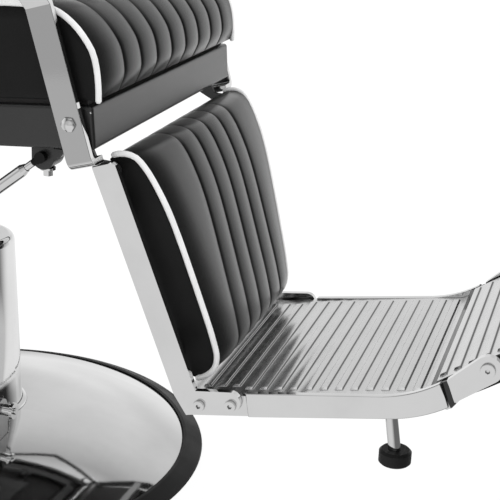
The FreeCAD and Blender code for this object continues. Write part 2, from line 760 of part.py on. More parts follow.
def make_pedal():
    shaft_length = S.shaft_front - S.shaft_back
    hole = S.shaft_radius + S.fit_radial
    ears = []
    for number, x in enumerate((S.shaft_back + 6, S.shaft_front - 26)):
        profile = [
            (S.shaft_y + 14, S.dome_top_height),
            (S.shaft_y + 14, S.shaft_z),
            (S.shaft_y - 14, S.shaft_z, S.shaft_y, S.shaft_z + 14),
            (S.shaft_y - 14, S.dome_top_height),
        ]
        ears.append(slab(
            f"PedalEar{number}", "YZ_Plane", profile, x, x + 12, [((S.shaft_y, S.shaft_z), hole)]
        ))
    ears.append(box(
        "PedalBase",
        (S.shaft_back + 6, S.shaft_y - 18, S.dome_top_height - 10),
        (S.shaft_front - 14, S.shaft_y + 12, S.dome_top_height + 5),
    ))
    edge, top = dome_side(-0.2)
    dome_space = turned("DomeSpace", [(0, -5), (edge[0], -5), edge, top, (0, top[1])])
    column_space = rod("ColumnSpace", S.dome_top_radius + 0.3, (0, 0, 0), 200)
    keep(without("PedalBracket", joined("PedalEars", ears), [dome_space, column_space]), "pedal_bracket")

    shaft = rod("PedalShaft", S.shaft_radius, (S.shaft_back, S.shaft_y, S.shaft_z), shaft_length, "x")
    cap = rod("PedalShaftCap", S.shaft_radius + 3, (S.shaft_front, S.shaft_y, S.shaft_z), 4, "x")
    nut = rod("PedalShaftNut", 4.5, (S.shaft_front + 4, S.shaft_y, S.shaft_z), 3, "x")
    keep(joined("PedalShaftAll", [shaft, cap, nut]), "pedal_shaft")

    half = S.lever_width / 2
    arm = slab("LeverArm", "YZ_Plane", [
        (S.shaft_y, S.shaft_z - 6),
        (S.shaft_y - 60, S.shaft_z - 1),
        (S.pedal_y + 40, S.shaft_z + 34),
        (S.pedal_y, S.shaft_z + 36),
        (S.pedal_y, S.shaft_z + 44),
        (S.pedal_y + 42, S.shaft_z + 42),
        (S.shaft_y - 58, S.shaft_z + 9),
        (S.shaft_y, S.shaft_z + 8),
    ], S.lever_x - half, S.lever_x + half)
    boss = rod(
        "LeverBoss", S.shaft_radius + 6, (S.lever_x - 30, S.shaft_y, S.shaft_z), 60, "x"
    )
    finger = box(
        "LeverFinger",
        (S.lever_x - 15, S.shaft_y, S.shaft_z - 5),
        (S.lever_x + 15, S.plunger_y + 7, S.shaft_z + 5),
    )
    throat = box(
        "LeverThroat",
        (S.lever_x - 7.5, S.plunger_y - 8, S.shaft_z - 8),
        (S.lever_x + 7.5, S.plunger_y + 9, S.shaft_z + 8),
    )
    bore = rod(
        "LeverBore", S.shaft_radius + S.fit_radial,
        (S.lever_x - 40, S.shaft_y, S.shaft_z), 80, "x",
    )
    lever = joined("LeverSolid", [arm, boss, finger])
    keep(without("LeverCut", lever, [throat, bore]), "pump_lever")

    ribs = []
    pad_low = S.shaft_z + 44.2
    pad = box(
        "PedalPlate",
        (S.lever_x - 48, S.pedal_y - 4, pad_low),
        (S.lever_x + 48, S.pedal_y + 40, pad_low + 7),
    )
    for number in range(7):
        x = S.lever_x - 42 + 14 * number
        ribs.append(box(
            f"PedalRib{number}",
            (x - 3, S.pedal_y, pad_low + 6),
            (x + 3, S.pedal_y + 36, pad_low + 10),
        ))
    keep(joined("PedalPad", [pad] + ribs), "pedal_pad")

    stem = rod("PlungerStem", S.plunger_radius, (S.lever_x, S.plunger_y, 22), S.shaft_z - 14)
    head = rod("PlungerHead", S.plunger_radius + 3, (S.lever_x, S.plunger_y, S.shaft_z + 7), 5)
    keep(joined("Plunger", [stem, head]), "pump_plunger")


# Seat: hub, frame, box, board and the arms.

def make_seat():
    hub = turned("hub_socket", [
        (S.spigot_radius + S.fit_radial, S.ram_top + S.bearing_height),
        (S.ram_radius + 12, S.ram_top + S.bearing_height),
        (S.ram_radius + 14, S.ram_top + 20),
        (S.ram_radius + 40, S.ram_top + 40),
        (S.ram_radius + 40, S.ram_top + 75),
        (0, S.ram_top + 75),
        (0, S.ram_top + S.spigot_height + 1),
        (S.spigot_radius + S.fit_radial, S.ram_top + S.spigot_height + 1),
    ])
    above = box("AboveHub", (-500, -300, 12), (100, 300, 200), SEAT)
    middle = -S.seat_front
    plate = box("SeatPlate", (middle - 120, -108, 8), (middle + 120, 108, S.frame_tube_low), SEAT)
    socket = without("HubSocket", hub, [above])
    keep(joined("SwivelHub", [socket, plate]), "swivel_hub")

    wall = S.tube_wall
    tube_low = S.frame_tube_low
    tube_high = tube_low + S.frame_tube_height
    outer, inner = [], []
    tube = S.frame_tube_width
    side_outer = as_size(210)
    tube_rear, tube_front = as_size(-400), as_size(-24)
    for sign in (RIGHT, LEFT):
        low, high = sorted((sign * side_outer, sign * (side_outer - tube)), key=float)
        outer.append(box(
            f"SideTube{sign}",
            (tube_rear, low, tube_low),
            (tube_front, high, tube_high),
            SEAT,
        ))
        inner.append(box(
            f"SideVoid{sign}",
            (tube_rear - 5, low + wall, tube_low + wall),
            (tube_front + 5, high - wall, tube_high - wall),
            SEAT,
        ))
    for number, x in enumerate((tube_rear, middle + 65, tube_front - tube)):
        x = as_size(x)
        reach = side_outer - tube
        outer.append(box(
            f"CrossTube{number}", (x, -reach - 1, tube_low), (x + tube, reach + 1, tube_high), SEAT
        ))
        inner.append(box(
            f"CrossVoid{number}",
            (x + wall, -reach - 1, tube_low + wall),
            (x + tube - wall, reach + 1, tube_high - wall),
            SEAT,
        ))
    voids = joined("FrameVoids", inner)
    keep(without("SeatFrame", joined("SeatTubes", outer), [voids]), "seat_frame")

    half = S.seat_half_width
    skirt_wall = S.skirt_wall
    shell = slab(
        "SkirtOuter", "XY_Plane",
        [(-S.seat_depth, -half), (0, -half), (0, half), (-S.seat_depth, half)],
        0, S.skirt_height, round_all=4, frame=SEAT,
    )
    hollow = box(
        "SkirtHollow",
        (skirt_wall - S.seat_depth, skirt_wall - half, -5),
        (-skirt_wall, half - skirt_wall, S.skirt_height + 5),
        SEAT,
    )
    tools = [hollow]
    rear_low = -S.seat_depth - 5
    rear_high = skirt_wall - S.seat_depth + 5
    for sign in (RIGHT, LEFT):
        low, high = sorted((sign * (S.bracket_y - 3), sign * (S.bracket_y + 8)), key=float)
        tools.append(box(
            f"BracketNotch{sign}", (rear_low, low, 22), (rear_high, high, S.skirt_height + 5), SEAT
        ))
    link_y = S.hinge_lug_y - S.hinge_lug_thick - 3.5
    tools.append(box(
        "LinkNotch", (rear_low, link_y - 5, -5), (rear_high, link_y + 5, 24), SEAT
    ))
    for name, frame, height in arm_bolt_places():
        x, z = frame.point(0, 0, height).x, frame.point(0, 0, height).z
        tools.append(rod(f"SkirtHole{name}", S.bolt_hole, (x, -half - 5, z), 2 * half + 10, "y"))
    keep(without("SeatSkirt", shell, tools), "seat_skirt")

    inset = S.board_inset
    board = box(
        "SeatBoard",
        (-S.seat_depth - 20, inset - half, S.skirt_height + 0.2),
        (-inset, half - inset, S.skirt_height + S.board_thick),
        SEAT,
    )
    keep(board, "seat_board")


def arm_bolt_places():
    """Name, frame and height of the lower bolt of the front and the rear arm bars."""
    return (
        ("Front", FRONT_BAR, S.front_bolt_height),
        ("Rear", REAR_BAR, S.rear_bolt_height),
    )


def domed_bolt(name, frame, height, sign, face_y):
    """A hexagon bolt with a domed head; its face is at face_y, on one side of the chair."""
    spot = frame.point(0, 0, height)
    spot.y = sign * float(face_y)
    turn = Rotation(Vector(1, 0, 0), -90 * sign)
    head = doc.addObject("Part::Prism", name + "Head")
    head.Polygon = 6
    bind(head, "Circumradius", S.bolt_head_radius)
    bind(head, "Height", S.bolt_head_height)
    head.Placement = Placement(spot, turn)
    dome = doc.addObject("Part::Sphere", name + "Dome")
    bind(dome, "Radius", S.bolt_head_radius * 1.35)
    depth = float(S.bolt_head_height) - float(S.bolt_head_radius) * 1.35
    dome.Placement = Placement(spot + Vector(0, sign * depth, 0), Rotation())
    cap = doc.addObject("Part::Common", name + "Cap")
    cap.Base = head
    cap.Tool = dome
    shank = doc.addObject("Part::Cylinder", name + "Shank")
    bind(shank, "Radius", S.bolt_radius)
    bind(shank, "Height", S.bolt_length)
    shank.Placement = Placement(spot - Vector(0, sign * float(S.bolt_length), 0), turn)
    return joined(name, [cap, shank])


def make_arms():
    inner = S.bar_inner_y
    thick = S.bar_thick
    mitre = S.jog_mitre
    bolts = []
    for frame, place, length, lower_bolt in (
        (FRONT_BAR, "front", S.front_bar_length, S.front_bolt_height),
        (REAR_BAR, "rear", S.rear_bar_length, S.rear_bolt_height),
    ):
        low = S.jog_start
        high = S.jog_start + S.jog_height
        out = inner + S.jog_out
        profile = [
            (inner + thick - S.tab_length, 0),
            (inner + thick, 0),
            (inner + thick, low - mitre),
            (out + thick, high - mitre),
            (out + thick, length),
            (out, length),
            (out, high + mitre),
            (inner, low + mitre),
            (inner, thick),
            (inner + thick - S.tab_length, thick),
        ]
        half = S.bar_width / 2
        pair = []
        for sign, side in SIDES:
            points = [(sign * a, b) for a, b in profile]
            label = f"{place}_arm_bar_{side}"
            bar = slab(label, "YZ_Plane", points, -half, half, frame=frame)
            doc.recompute()
            bends = [
                (Vector(0, sign * float(inner + thick), 0), "yz"),
                (Vector(0, sign * float(inner), float(thick)), "yz"),
            ]
            for point, radius in zip(bends, (S.bend_outer, S.bend_inner)):
                names = edges_through(bar.Tip.Shape, [point])
                round_edges(bar, label, names, radius)
            round_edges(bar, label, None, S.edge_round / 2)
            holes = []
            for number, height in enumerate((lower_bolt, length - S.upper_bolt_drop)):
                spot = frame.point(0, 0, height)
                name = f"{place}{side}{number}"
                holes.append(rod(f"BarHole{name}", S.bolt_hole, (spot.x, -300, spot.z), 600, "y"))
                face = inner + thick if number == 0 else out + thick
                bolts.append(domed_bolt(f"ArmBolt{name}", frame, height, sign, face))
            pair.append(without(f"Bar{place}{side}", bar, holes))
        keep(grouped(f"Bars{place}", pair), f"{place}_arm_bars")
    keep(grouped("ArmBolts", bolts), "arm_bolts")


def make_armrests():
    out = S.bar_inner_y + S.jog_out
    half = S.armrest_length / 2
    plates = []
    for sign, side in SIDES:
        plate = slab(f"armrest_plate_{side}", "YZ_Plane", [
            (sign * (out - 0.3), S.armrest_z - 44),
            (sign * (out - 0.3), S.armrest_z),
            (sign * (S.armrest_y + 30), S.armrest_z),
            (sign * (S.armrest_y + 30), S.armrest_z + S.armrest_top_plate),
            (sign * (S.armrest_y - 30), S.armrest_z + S.armrest_top_plate),
            (sign * (S.armrest_y - 30), S.armrest_z),
            (sign * (out - 5.3), S.armrest_z),
            (sign * (out - 5.3), S.armrest_z - 44),
        ], S.armrest_x - half + 4, S.armrest_x + half - 4)
        holes = []
        for number, (frame, length) in enumerate((
            (FRONT_BAR, S.front_bar_length), (REAR_BAR, S.rear_bar_length),
        )):
            spot = frame.point(0, 0, length - S.upper_bolt_drop)
            name = f"PlateHole{side}{number}"
            holes.append(rod(name, S.bolt_hole, (spot.x, -300, spot.z), 600, "y"))
        plates.append(without(f"ArmrestPlate{side}", plate, holes))
    keep(grouped("ArmrestPlates", plates), "armrest_plates")


# Leg rest and footrest.

def crank_pin():
    """Offset of a recline crank's pin from its hinge, in the chair's frame."""
    back = math.radians(float(S.crank_back))
    return -float(S.crank_radius) * math.sin(back), -float(S.crank_radius) * math.cos(back)


def foot_bolt_holes():
    """Centres and radii of the two holes that bolt a leg bar's foot to the footrest."""
    return [
        ((along, -S.foot_bolt_drop), S.foot_bolt_hole)
        for along in (S.foot_bolt_first, S.foot_bolt_second)
    ]


def strap(name, frame, start, finish, half_width, low, high, holes=()):
    """A flat strap with round ends between two points of a frame's XZ plane."""
    ax, az = float(start[0]), float(start[1])
    bx, bz = float(finish[0]), float(finish[1])
    length = math.hypot(bx - ax, bz - az)
    ux, uz = (bx - ax) / length, (bz - az) / length
    w = float(half_width)
    outline = [
        (ax + uz * w, az - ux * w),
        (bx + uz * w, bz - ux * w),
        (bx - uz * w, bz + ux * w, bx + ux * w, bz + uz * w),
        (ax - uz * w, az + ux * w),
    ]
    first = outline[0]
    outline[0] = (first[0], first[1], ax - ux * w, az - uz * w)
    return slab(name, "XZ_Plane", outline, low, high, holes, frame=frame)


def make_leg_rest():
    half = S.leg_bar_width / 2
    run = S.leg_bar_top - S.leg_bar_foot
    hole = S.hinge_pin_radius + S.fit_radial
    hinge = LEG.local(S.hinge_x, S.hinge_z)
    chamfer = S.leg_bar_chamfer
    for sign, side in SIDES:
        body = new_body(f"LegBar{side}")
        foot_outer = sign * S.leg_foot_y
        foot_inner = sign * (S.leg_foot_y - S.leg_bar_thick)
        sketch = new_sketch(body, f"LegBarOutline{side}", "XY_Plane", S.leg_bar_foot)
        draw_polygon(sketch, [
            (-half, foot_inner), (half, foot_inner), (half, foot_outer), (-half, foot_outer),
        ])
        pad = body.newObject("PartDesign::Pad", f"LegBarPad{side}")
        pad.Profile = sketch
        pad.UseCustomVector = True
        lean = float(S.leg_top_y) - float(S.leg_foot_y)
        pad.Direction = Vector(0, sign * lean, float(run))
        pad.AlongSketchNormal = True
        bind(pad, "Length", run)
        body.Tip = pad
        LEG.give(body)

        low, high = sorted((foot_inner, foot_outer), key=float)
        height, slope, heel = S.leg_foot_height, S.leg_foot_slope, S.leg_foot_heel
        bend = S.leg_foot_reach - height / 2
        end_low = S.leg_foot_low + slope * (bend - heel)
        corner_back = FOOT.local(*leg_point(-half, S.leg_bar_foot))
        corner_front = FOOT.local(*leg_point(half, S.leg_bar_foot))
        foot = slab(f"LegFoot{side}", "XZ_Plane", [
            corner_back,
            (heel, S.leg_foot_low),
            (bend, end_low),
            (bend, end_low + height, S.leg_foot_reach, end_low + height / 2),
            corner_front,
        ], low, high, foot_bolt_holes(), frame=FOOT)
        parts = [body, foot]
        if sign == LEFT:
            parts += recline_horn()
        low, high = sorted((sign * (S.leg_bracket_y - 4), sign * S.leg_pin_end), key=float)
        bore = rod(f"LegBore{side}", hole, (hinge[0], low, hinge[1]), high - low, "y", LEG)
        low, high = sorted((sign * S.leg_foot_y, sign * (S.leg_top_y + 4)), key=float)
        trim = slab(f"LegTrim{side}", "XZ_Plane", [
            (half + 1, S.leg_bar_top - chamfer - 1),
            (half + 1, S.leg_bar_top + 1),
            (half - chamfer - 1, S.leg_bar_top + 1),
        ], low, high, frame=LEG)
        solid = joined(f"LegBarJoined{side}", parts)
        keep(without(f"LegBarBored{side}", solid, [bore, trim]), f"leg_rest_bar_{side}")

    bars = []
    rear = S.leg_cushion_base - 1 - S.board_thick - S.crossbar_thick
    for number, middle in enumerate((-62, -252)):
        low, high = middle - S.crossbar_height / 2, middle + S.crossbar_height / 2
        low_y, high_y = leg_inner_y(float(low)) - 0.1, leg_inner_y(float(high)) - 0.1
        bars.append(slab(f"LegCrossbar{number}", "YZ_Plane", [
            (-high_y, high), (-low_y, low), (low_y, low), (high_y, high),
        ], rear, rear + S.crossbar_thick, frame=LEG))
    keep(grouped("LegCrossbars", bars), "leg_rest_crossbars")

    top, foot = S.leg_cushion_top - 16, S.leg_board_foot
    front = S.leg_cushion_base - 0.5
    board = slab("LegBoard", "YZ_Plane", [
        (-S.leg_board_half, top), (-S.leg_board_foot_half, foot),
        (S.leg_board_foot_half, foot), (S.leg_board_half, top),
    ], front - S.board_thick, front, frame=LEG)
    keep(board, "leg_rest_board")


def recline_horn():
    """The horn behind the left leg rest bar that carries the pin of the recline link."""
    lug_low, lug_high = S.hinge_lug_y - S.hinge_lug_thick, S.hinge_lug_y
    rear = 1 - S.leg_bar_width / 2
    dx, dz = crank_pin()
    x, z = LEG.local(float(S.hinge_x) + dx, float(S.hinge_z) + dz)
    half = S.crank_half_width
    plate = slab("LegHorn", "XZ_Plane", [
        (rear, z + 18),
        (rear, z - half),
        (x, z - half),
        (x, z + half, x - half, z),
    ], lug_low, lug_high, frame=LEG)
    pin = rod("LegHornPin", S.crank_pin_radius, (x, lug_low - 7, z), 8, "y", LEG)
    return [plate, pin]


def leg_point(x, z):
    spot = LEG.point(x, 0, z)
    return spot.x, spot.z


def leg_inner_y(height):
    """Inner face of the leg rest bars at a height of the leg rest's frame."""
    run = float(S.leg_bar_top) - float(S.leg_bar_foot)
    part = (float(S.leg_bar_top) - height) / run
    outer = float(S.leg_top_y) + (float(S.leg_foot_y) - float(S.leg_top_y)) * part
    return outer - float(S.leg_bar_thick)


def frame_underside(x):
    """Height of the underside of the seat frame's tubes at a place along the chair."""
    tilt = math.radians(float(S.seat_tilt))
    low = float(S.frame_tube_low)
    return float(S.seat_bottom) - (x - float(S.seat_front)) * math.tan(tilt) + low / math.cos(tilt)


def make_hinge_brackets():
    """Plates that carry the leg rest and the backrest from the seat frame, and their pins."""
    hole = S.hinge_pin_radius + S.fit_radial
    radius = S.hinge_lug_radius
    eye = S.leg_bracket_eye
    thick = S.bracket_thick
    neck, rear = 266, 240
    leg_plates, back_plates, pins = [], [], []
    for sign, side in SIDES:
        low, high = sorted((sign * S.leg_bracket_y, sign * (S.leg_bracket_y + thick)), key=float)
        x, z = S.hinge_x, S.hinge_z
        leg_plates.append(slab(f"LegBracket{side}", "XZ_Plane", [
            (x, z - eye),
            (x, z + eye, x + eye, z),
            (x - 18, z + eye + 1),
            (x - 24, z + eye + 14),
            (neck, frame_underside(neck) - 0.1),
            (rear, frame_underside(rear) - 0.1),
            (rear, frame_underside(rear) - 12),
            (x - 46, z + eye + 4),
        ], low, high, [((x, z), hole)]))
        low, high = sorted((sign * S.bracket_y, sign * (S.bracket_y + thick)), key=float)
        x, z = S.back_hinge_x, S.back_hinge_z
        back_plates.append(slab(f"BackBracket{side}", "XZ_Plane", [
            (x + radius, z),
            (x - radius, z, x, z + radius),
            (x - radius, z - 38),
            (x - 2, z - 48),
            (x + 50, z - 46),
            (x + 150, z - 40),
            (x + 150, z - 24),
            (x + radius, z - 29),
        ], low, high, [((x, z), hole)]))
        pins.append(hinge_pin(
            f"LegPin{side}", LEG.local(S.hinge_x, S.hinge_z), LEG, sign,
            S.leg_pin_end - 0.2, S.leg_bracket_y - 0.1, -S.pin_head_thick,
        ))
        pins.append(hinge_pin(
            f"BackPin{side}", (0, 0), BACK, sign,
            S.hinge_lug_y - S.hinge_lug_thick - 1.5, S.bracket_y + thick + 0.1, S.pin_head_thick,
        ))
    keep(grouped("LegBrackets", leg_plates), "leg_rest_brackets")
    keep(grouped("BackBrackets", back_plates), "backrest_brackets")
    keep(grouped("HingePins", pins), "hinge_pins")


def hinge_pin(name, spot, frame, sign, end, head, head_thick):
    """A pin from its end to the face its head rests on; the head stands out from that face."""
    low, high = sorted((sign * end, sign * head), key=float)
    x, z = spot
    pin = rod(name, S.hinge_pin_radius, (x, low, z), high - low, "y", frame)
    low, high = sorted((sign * head, sign * (head + head_thick)), key=float)
    cap = rod(f"{name}Cap", S.hinge_pin_radius + 3, (x, low, z), high - low, "y", frame)
    return joined(f"{name}Whole", [pin, cap])


def screw_socket(name, frame, face, sign):
    """The hexagon socket to cut from a screw head whose face is at a point of a frame."""
    socket = doc.addObject("Part::Prism", name)
    socket.Polygon = 6
    bind(socket, "Circumradius", S.screw_socket)
    bind(socket, "Height", S.socket_depth + 1)
    turn = frame.placement().Rotation.multiply(Rotation(Vector(1, 0, 0), -90 * sign))
    x, y, z = (float(a) for a in face)
    socket.Placement = Placement(frame.point(x, y - sign * float(S.socket_depth), z), turn)
    return socket


def rib_ends(name, frame, reach, face, low, high):
    """The wedges that slope both ends of a row of ribs on a face at a height."""
    over = 0.4
    top = face + S.rib_height + 0.5
    wedges = []
    for sign, side in SIDES:
        wedges.append(slab(f"{name}RibEnd{side}", "YZ_Plane", [
            (sign * (reach + over), face + 0.05),
            (sign * (reach + over), top),
            (sign * (reach - S.rib_end_slope - over), top),
        ], low, high, frame=frame))
    return wedges


def make_footrest():
    length = S.foot_length
    width = S.foot_half_width
    thick = S.foot_thick
    lip = length - 8
    body = new_body("FootPlate")
    sketch = new_sketch(body, "FootPlateOutline", "XZ_Plane", -width)
    draw_polygon(sketch, [
        (S.foot_back, -thick),
        (length - 4, -thick),
        (length - 4, -S.foot_edge_depth),
        (length, -S.foot_edge_depth),
        (length, 3),
        (lip, 0),
        (S.foot_back, 0),
    ])
    pad = body.newObject("PartDesign::Pad", "FootPlatePad")
    pad.Profile = sketch
    bind(pad, "Length", 2 * width)
    half = S.rib_width / 2
    wedges = []
    for name, first, count, reach in (
        ("Short", 0, SHORT_RIBS, S.rib_half_length - S.short_rib_inset),
        ("Long", SHORT_RIBS, FOOT_RIBS - SHORT_RIBS, S.rib_half_length),
    ):
        start = S.rib_start + first * S.rib_pitch
        rib_sketch = new_sketch(body, f"{name}RibOutline", "XZ_Plane", -reach)
        draw_polygon(rib_sketch, [
            (start - half - 0.6, -1),
            (start + half + 0.6, -1),
            (start + half + 0.6, 0.2),
            (start + half - 1.2, S.rib_height),
            (start - half + 1.2, S.rib_height),
            (start - half - 0.6, 0.2),
        ])
        rib = body.newObject("PartDesign::Pad", f"{name}Rib")
        rib.Profile = rib_sketch
        bind(rib, "Length", 2 * reach)
        body.Tip = rib
        doc.recompute()
        rows = body.newObject("PartDesign::LinearPattern", f"{name}Ribs")
        rows.Originals = [rib]
        rows.Direction = (rib_sketch, ["H_Axis"])
        rows.Occurrences = count
        bind(rows, "Length", (count - 1) * S.rib_pitch)
        body.Tip = rows
        doc.recompute()
        low = start - S.rib_pitch / 2
        wedges += rib_ends(name, FOOT, reach, 0, low, low + count * S.rib_pitch)
    FOOT.give(body)
    keep(without("FootPlateWhole", body, wedges), "footrest_plate")

    pivot = FOOT.local(S.flap_x, S.flap_z)
    boss = S.pivot_boss_radius
    rail_depth = S.rail_height
    rails = []
    for sign, side in SIDES:
        rail_low, rail_high = sorted((sign * width, sign * (width + S.rail_thick)), key=float)
        rail = slab(f"Rail{side}", "XZ_Plane", [
            (65, -rail_depth),
            (232, -rail_depth),
            (301.5, -12.5, 268, -23.5),
            (295.5, 17),
            (228, 0.6, 262, 4.8),
            (65, 2.6),
        ], rail_low + 0.2, rail_high - 0.2, round_all=S.edge_round, frame=FOOT)
        tongue_low, tongue_high = sorted((sign * (width + 0.2), sign * (width + 8)), key=float)
        tongue = slab(f"Tongue{side}", "XZ_Plane", [
            (-6, -25), (70, -26), (70, -0.5), (-6, -0.5),
        ], tongue_low, tongue_high, foot_bolt_holes(), frame=FOOT)
        neck_low, neck_high = sorted((sign * (width + 0.2), sign * (width + 4)), key=float)
        neck = slab(f"Neck{side}", "XZ_Plane", [
            (290, -14), (298.8, -16.9), (304.5, -14.4), (316, -3), (309, 21), (288, 13),
        ], neck_low, neck_high, frame=FOOT)
        arm_low, arm_high = sorted((sign * (width + 0.2), sign * (width + 8.6)), key=float)
        along = math.radians(float(S.foot_tilt) - float(S.flap_tilt) + 4)
        ux, uz = math.cos(along), math.sin(along)
        px, pz = pivot
        r = float(boss)
        arm = slab(f"FlapArm{side}", "XZ_Plane", [
            (308.5, -6.5),
            (px + uz * r, pz - ux * r),
            (px - uz * r, pz + ux * r, px + ux * r, pz + uz * r),
            (302.5, 20.5),
        ], arm_low, arm_high, [((px, pz), S.pivot_pin_radius + S.fit_radial)], frame=FOOT)
        rails.append(joined(f"RailWhole{side}", [rail, tongue, neck, arm]))
    keep(grouped("Rails", rails), "footrest_rails")

    bolts = []
    for sign, side in SIDES:
        for number, x in enumerate((S.foot_bolt_first, S.foot_bolt_second)):
            name = f"{side}{number}"
            face = sign * S.leg_foot_y
            inner = sign * (width + 0.2)
            outer = face + sign * 5
            drop = -S.foot_bolt_drop
            low, high = sorted((face, inner), key=float)
            shank = rod(f"FootShank{name}", S.foot_bolt_radius, (x, low, drop), high - low, "y", FOOT)
            low, high = sorted((face, outer), key=float)
            cap = rod(f"FootCap{name}", S.foot_bolt_cap, (x, low, drop), high - low, "y", FOOT)
            socket = screw_socket(f"FootSocket{name}", FOOT, (x, outer, drop), sign)
            bolts.append(without(f"FootBolt{name}", joined(f"FootBoltSolid{name}", [shank, cap]), [socket]))
    keep(grouped("FootBolts", bolts), "footrest_bolts")

    posts, feet = [], []
    along, radius = S.post_along, S.post_radius
    post_top = -thick - 0.1
    ground = S.post_foot
    foot_top = ground + S.foot_pad_height
    foot_middle = FOOT.point(along, 0, post_top - S.post_length).x
    for sign, side in SIDES:
        y = sign * S.post_y
        start = (along, y, post_top - S.post_length)
        posts.append(rod(f"Post{side}", radius, start, S.post_length, "z", FOOT))
        pad = turned_at(f"FootPad{side}", foot_middle, y, [
            (0, ground),
            (S.foot_pad_radius - 2, ground),
            (S.foot_pad_radius, ground + 2),
            (S.foot_pad_radius, foot_top - 3),
            (S.foot_pad_radius - 3, foot_top),
            (0, foot_top),
        ])
        socket = rod(f"FootPadSocket{side}", radius + 0.2, start, S.post_length, "z", FOOT)
        feet.append(without(f"FootPadCut{side}", pad, [socket]))
    keep(grouped("Posts", posts), "support_posts")
    keep(grouped("RubberFeet", feet), "support_feet")


def turned_at(label, x, y, points):
    body = turned(label, points)
    body.Placement = Placement(Vector(float(as_size(x)), float(as_size(y)), 0), Rotation())
    bind(body, "Placement.Base.x", x)
    bind(body, "Placement.Base.y", y)
    return body


def make_flap():
    width = S.flap_half_width
    half = S.flap_half_length
    top = 8
    body = new_body("FlapPlate")
    sketch = new_sketch(body, "FlapPlateOutline", "XZ_Plane", -width)
    low = top - S.flap_thick
    draw_polygon(sketch, [
        (-half, low + 2),
        (-half + 3, low),
        (half - 3, low),
        (half, low + 2),
        (half, top - 2),
        (half - 2, top),
        (-half + 2, top),
        (-half, top - 2),
    ])
    pad = body.newObject("PartDesign::Pad", "FlapPlatePad")
    pad.Profile = sketch
    bind(pad, "Length", 2 * width)
    start = S.rib_start - half
    rib_half = S.rib_width / 2
    reach = S.rib_half_length - 4
    rib_sketch = new_sketch(body, "FlapRibOutline", "XZ_Plane", -reach)
    draw_polygon(rib_sketch, [
        (start - rib_half - 0.6, top - 1),
        (start + rib_half + 0.6, top - 1),
        (start + rib_half + 0.6, top + 0.2),
        (start + rib_half - 1.2, top + S.rib_height),
        (start - rib_half + 1.2, top + S.rib_height),
        (start - rib_half - 0.6, top + 0.2),
    ])
    rib = body.newObject("PartDesign::Pad", "FlapRib")
    rib.Profile = rib_sketch
    bind(rib, "Length", 2 * reach)
    body.Tip = rib
    doc.recompute()
    rows = body.newObject("PartDesign::LinearPattern", "FlapRibs")
    rows.Originals = [rib]
    rows.Direction = (rib_sketch, ["H_Axis"])
    rows.Occurrences = FLAP_RIBS
    bind(rows, "Length", (FLAP_RIBS - 1) * S.rib_pitch)
    body.Tip = rows
    FLAP.give(body)
    cheeks = []
    for sign, side in SIDES:
        low, high = sorted((sign * (width - 5), sign * width), key=float)
        cheeks.append(slab(f"FlapCheek{side}", "XZ_Plane", [
            (-half + 8, 3), (-16, -14), (16, -14), (half - 8, 3),
        ], low, high, frame=FLAP))
    bore = rod(
        "FlapBore", S.pivot_pin_radius + S.fit_radial, (0, -width - 5, 0), 2 * width + 10, "y", FLAP
    )
    low = start - S.rib_pitch / 2
    wedges = rib_ends("Flap", FLAP, reach, top, low, low + FLAP_RIBS * S.rib_pitch)
    whole = joined("FlapWhole", [body] + cheeks)
    keep(without("FlapBored", whole, [bore] + wedges), "flap_plate")

    pins = []
    cap_face = S.foot_half_width + 8.9
    for sign, side in SIDES:
        low, high = sorted((sign * (width - 6), sign * (cap_face + 0.1)), key=float)
        pin = rod(f"FlapPin{side}", S.pivot_pin_radius, (0, low, 0), high - low, "y", FLAP)
        outer = sign * (cap_face + 4)
        low, high = sorted((sign * cap_face, outer), key=float)
        cap = rod(f"FlapCap{side}", 8, (0, low, 0), high - low, "y", FLAP)
        socket = screw_socket(f"FlapSocket{side}", FLAP, (0, outer, 0), sign)
        screw = joined(f"FlapScrewSolid{side}", [pin, cap])
        pins.append(without(f"FlapScrew{side}", screw, [socket]))
    keep(grouped("FlapScrews", pins), "flap_screws")


# Recline gear: levers, link, lock cylinder and backrest frame.

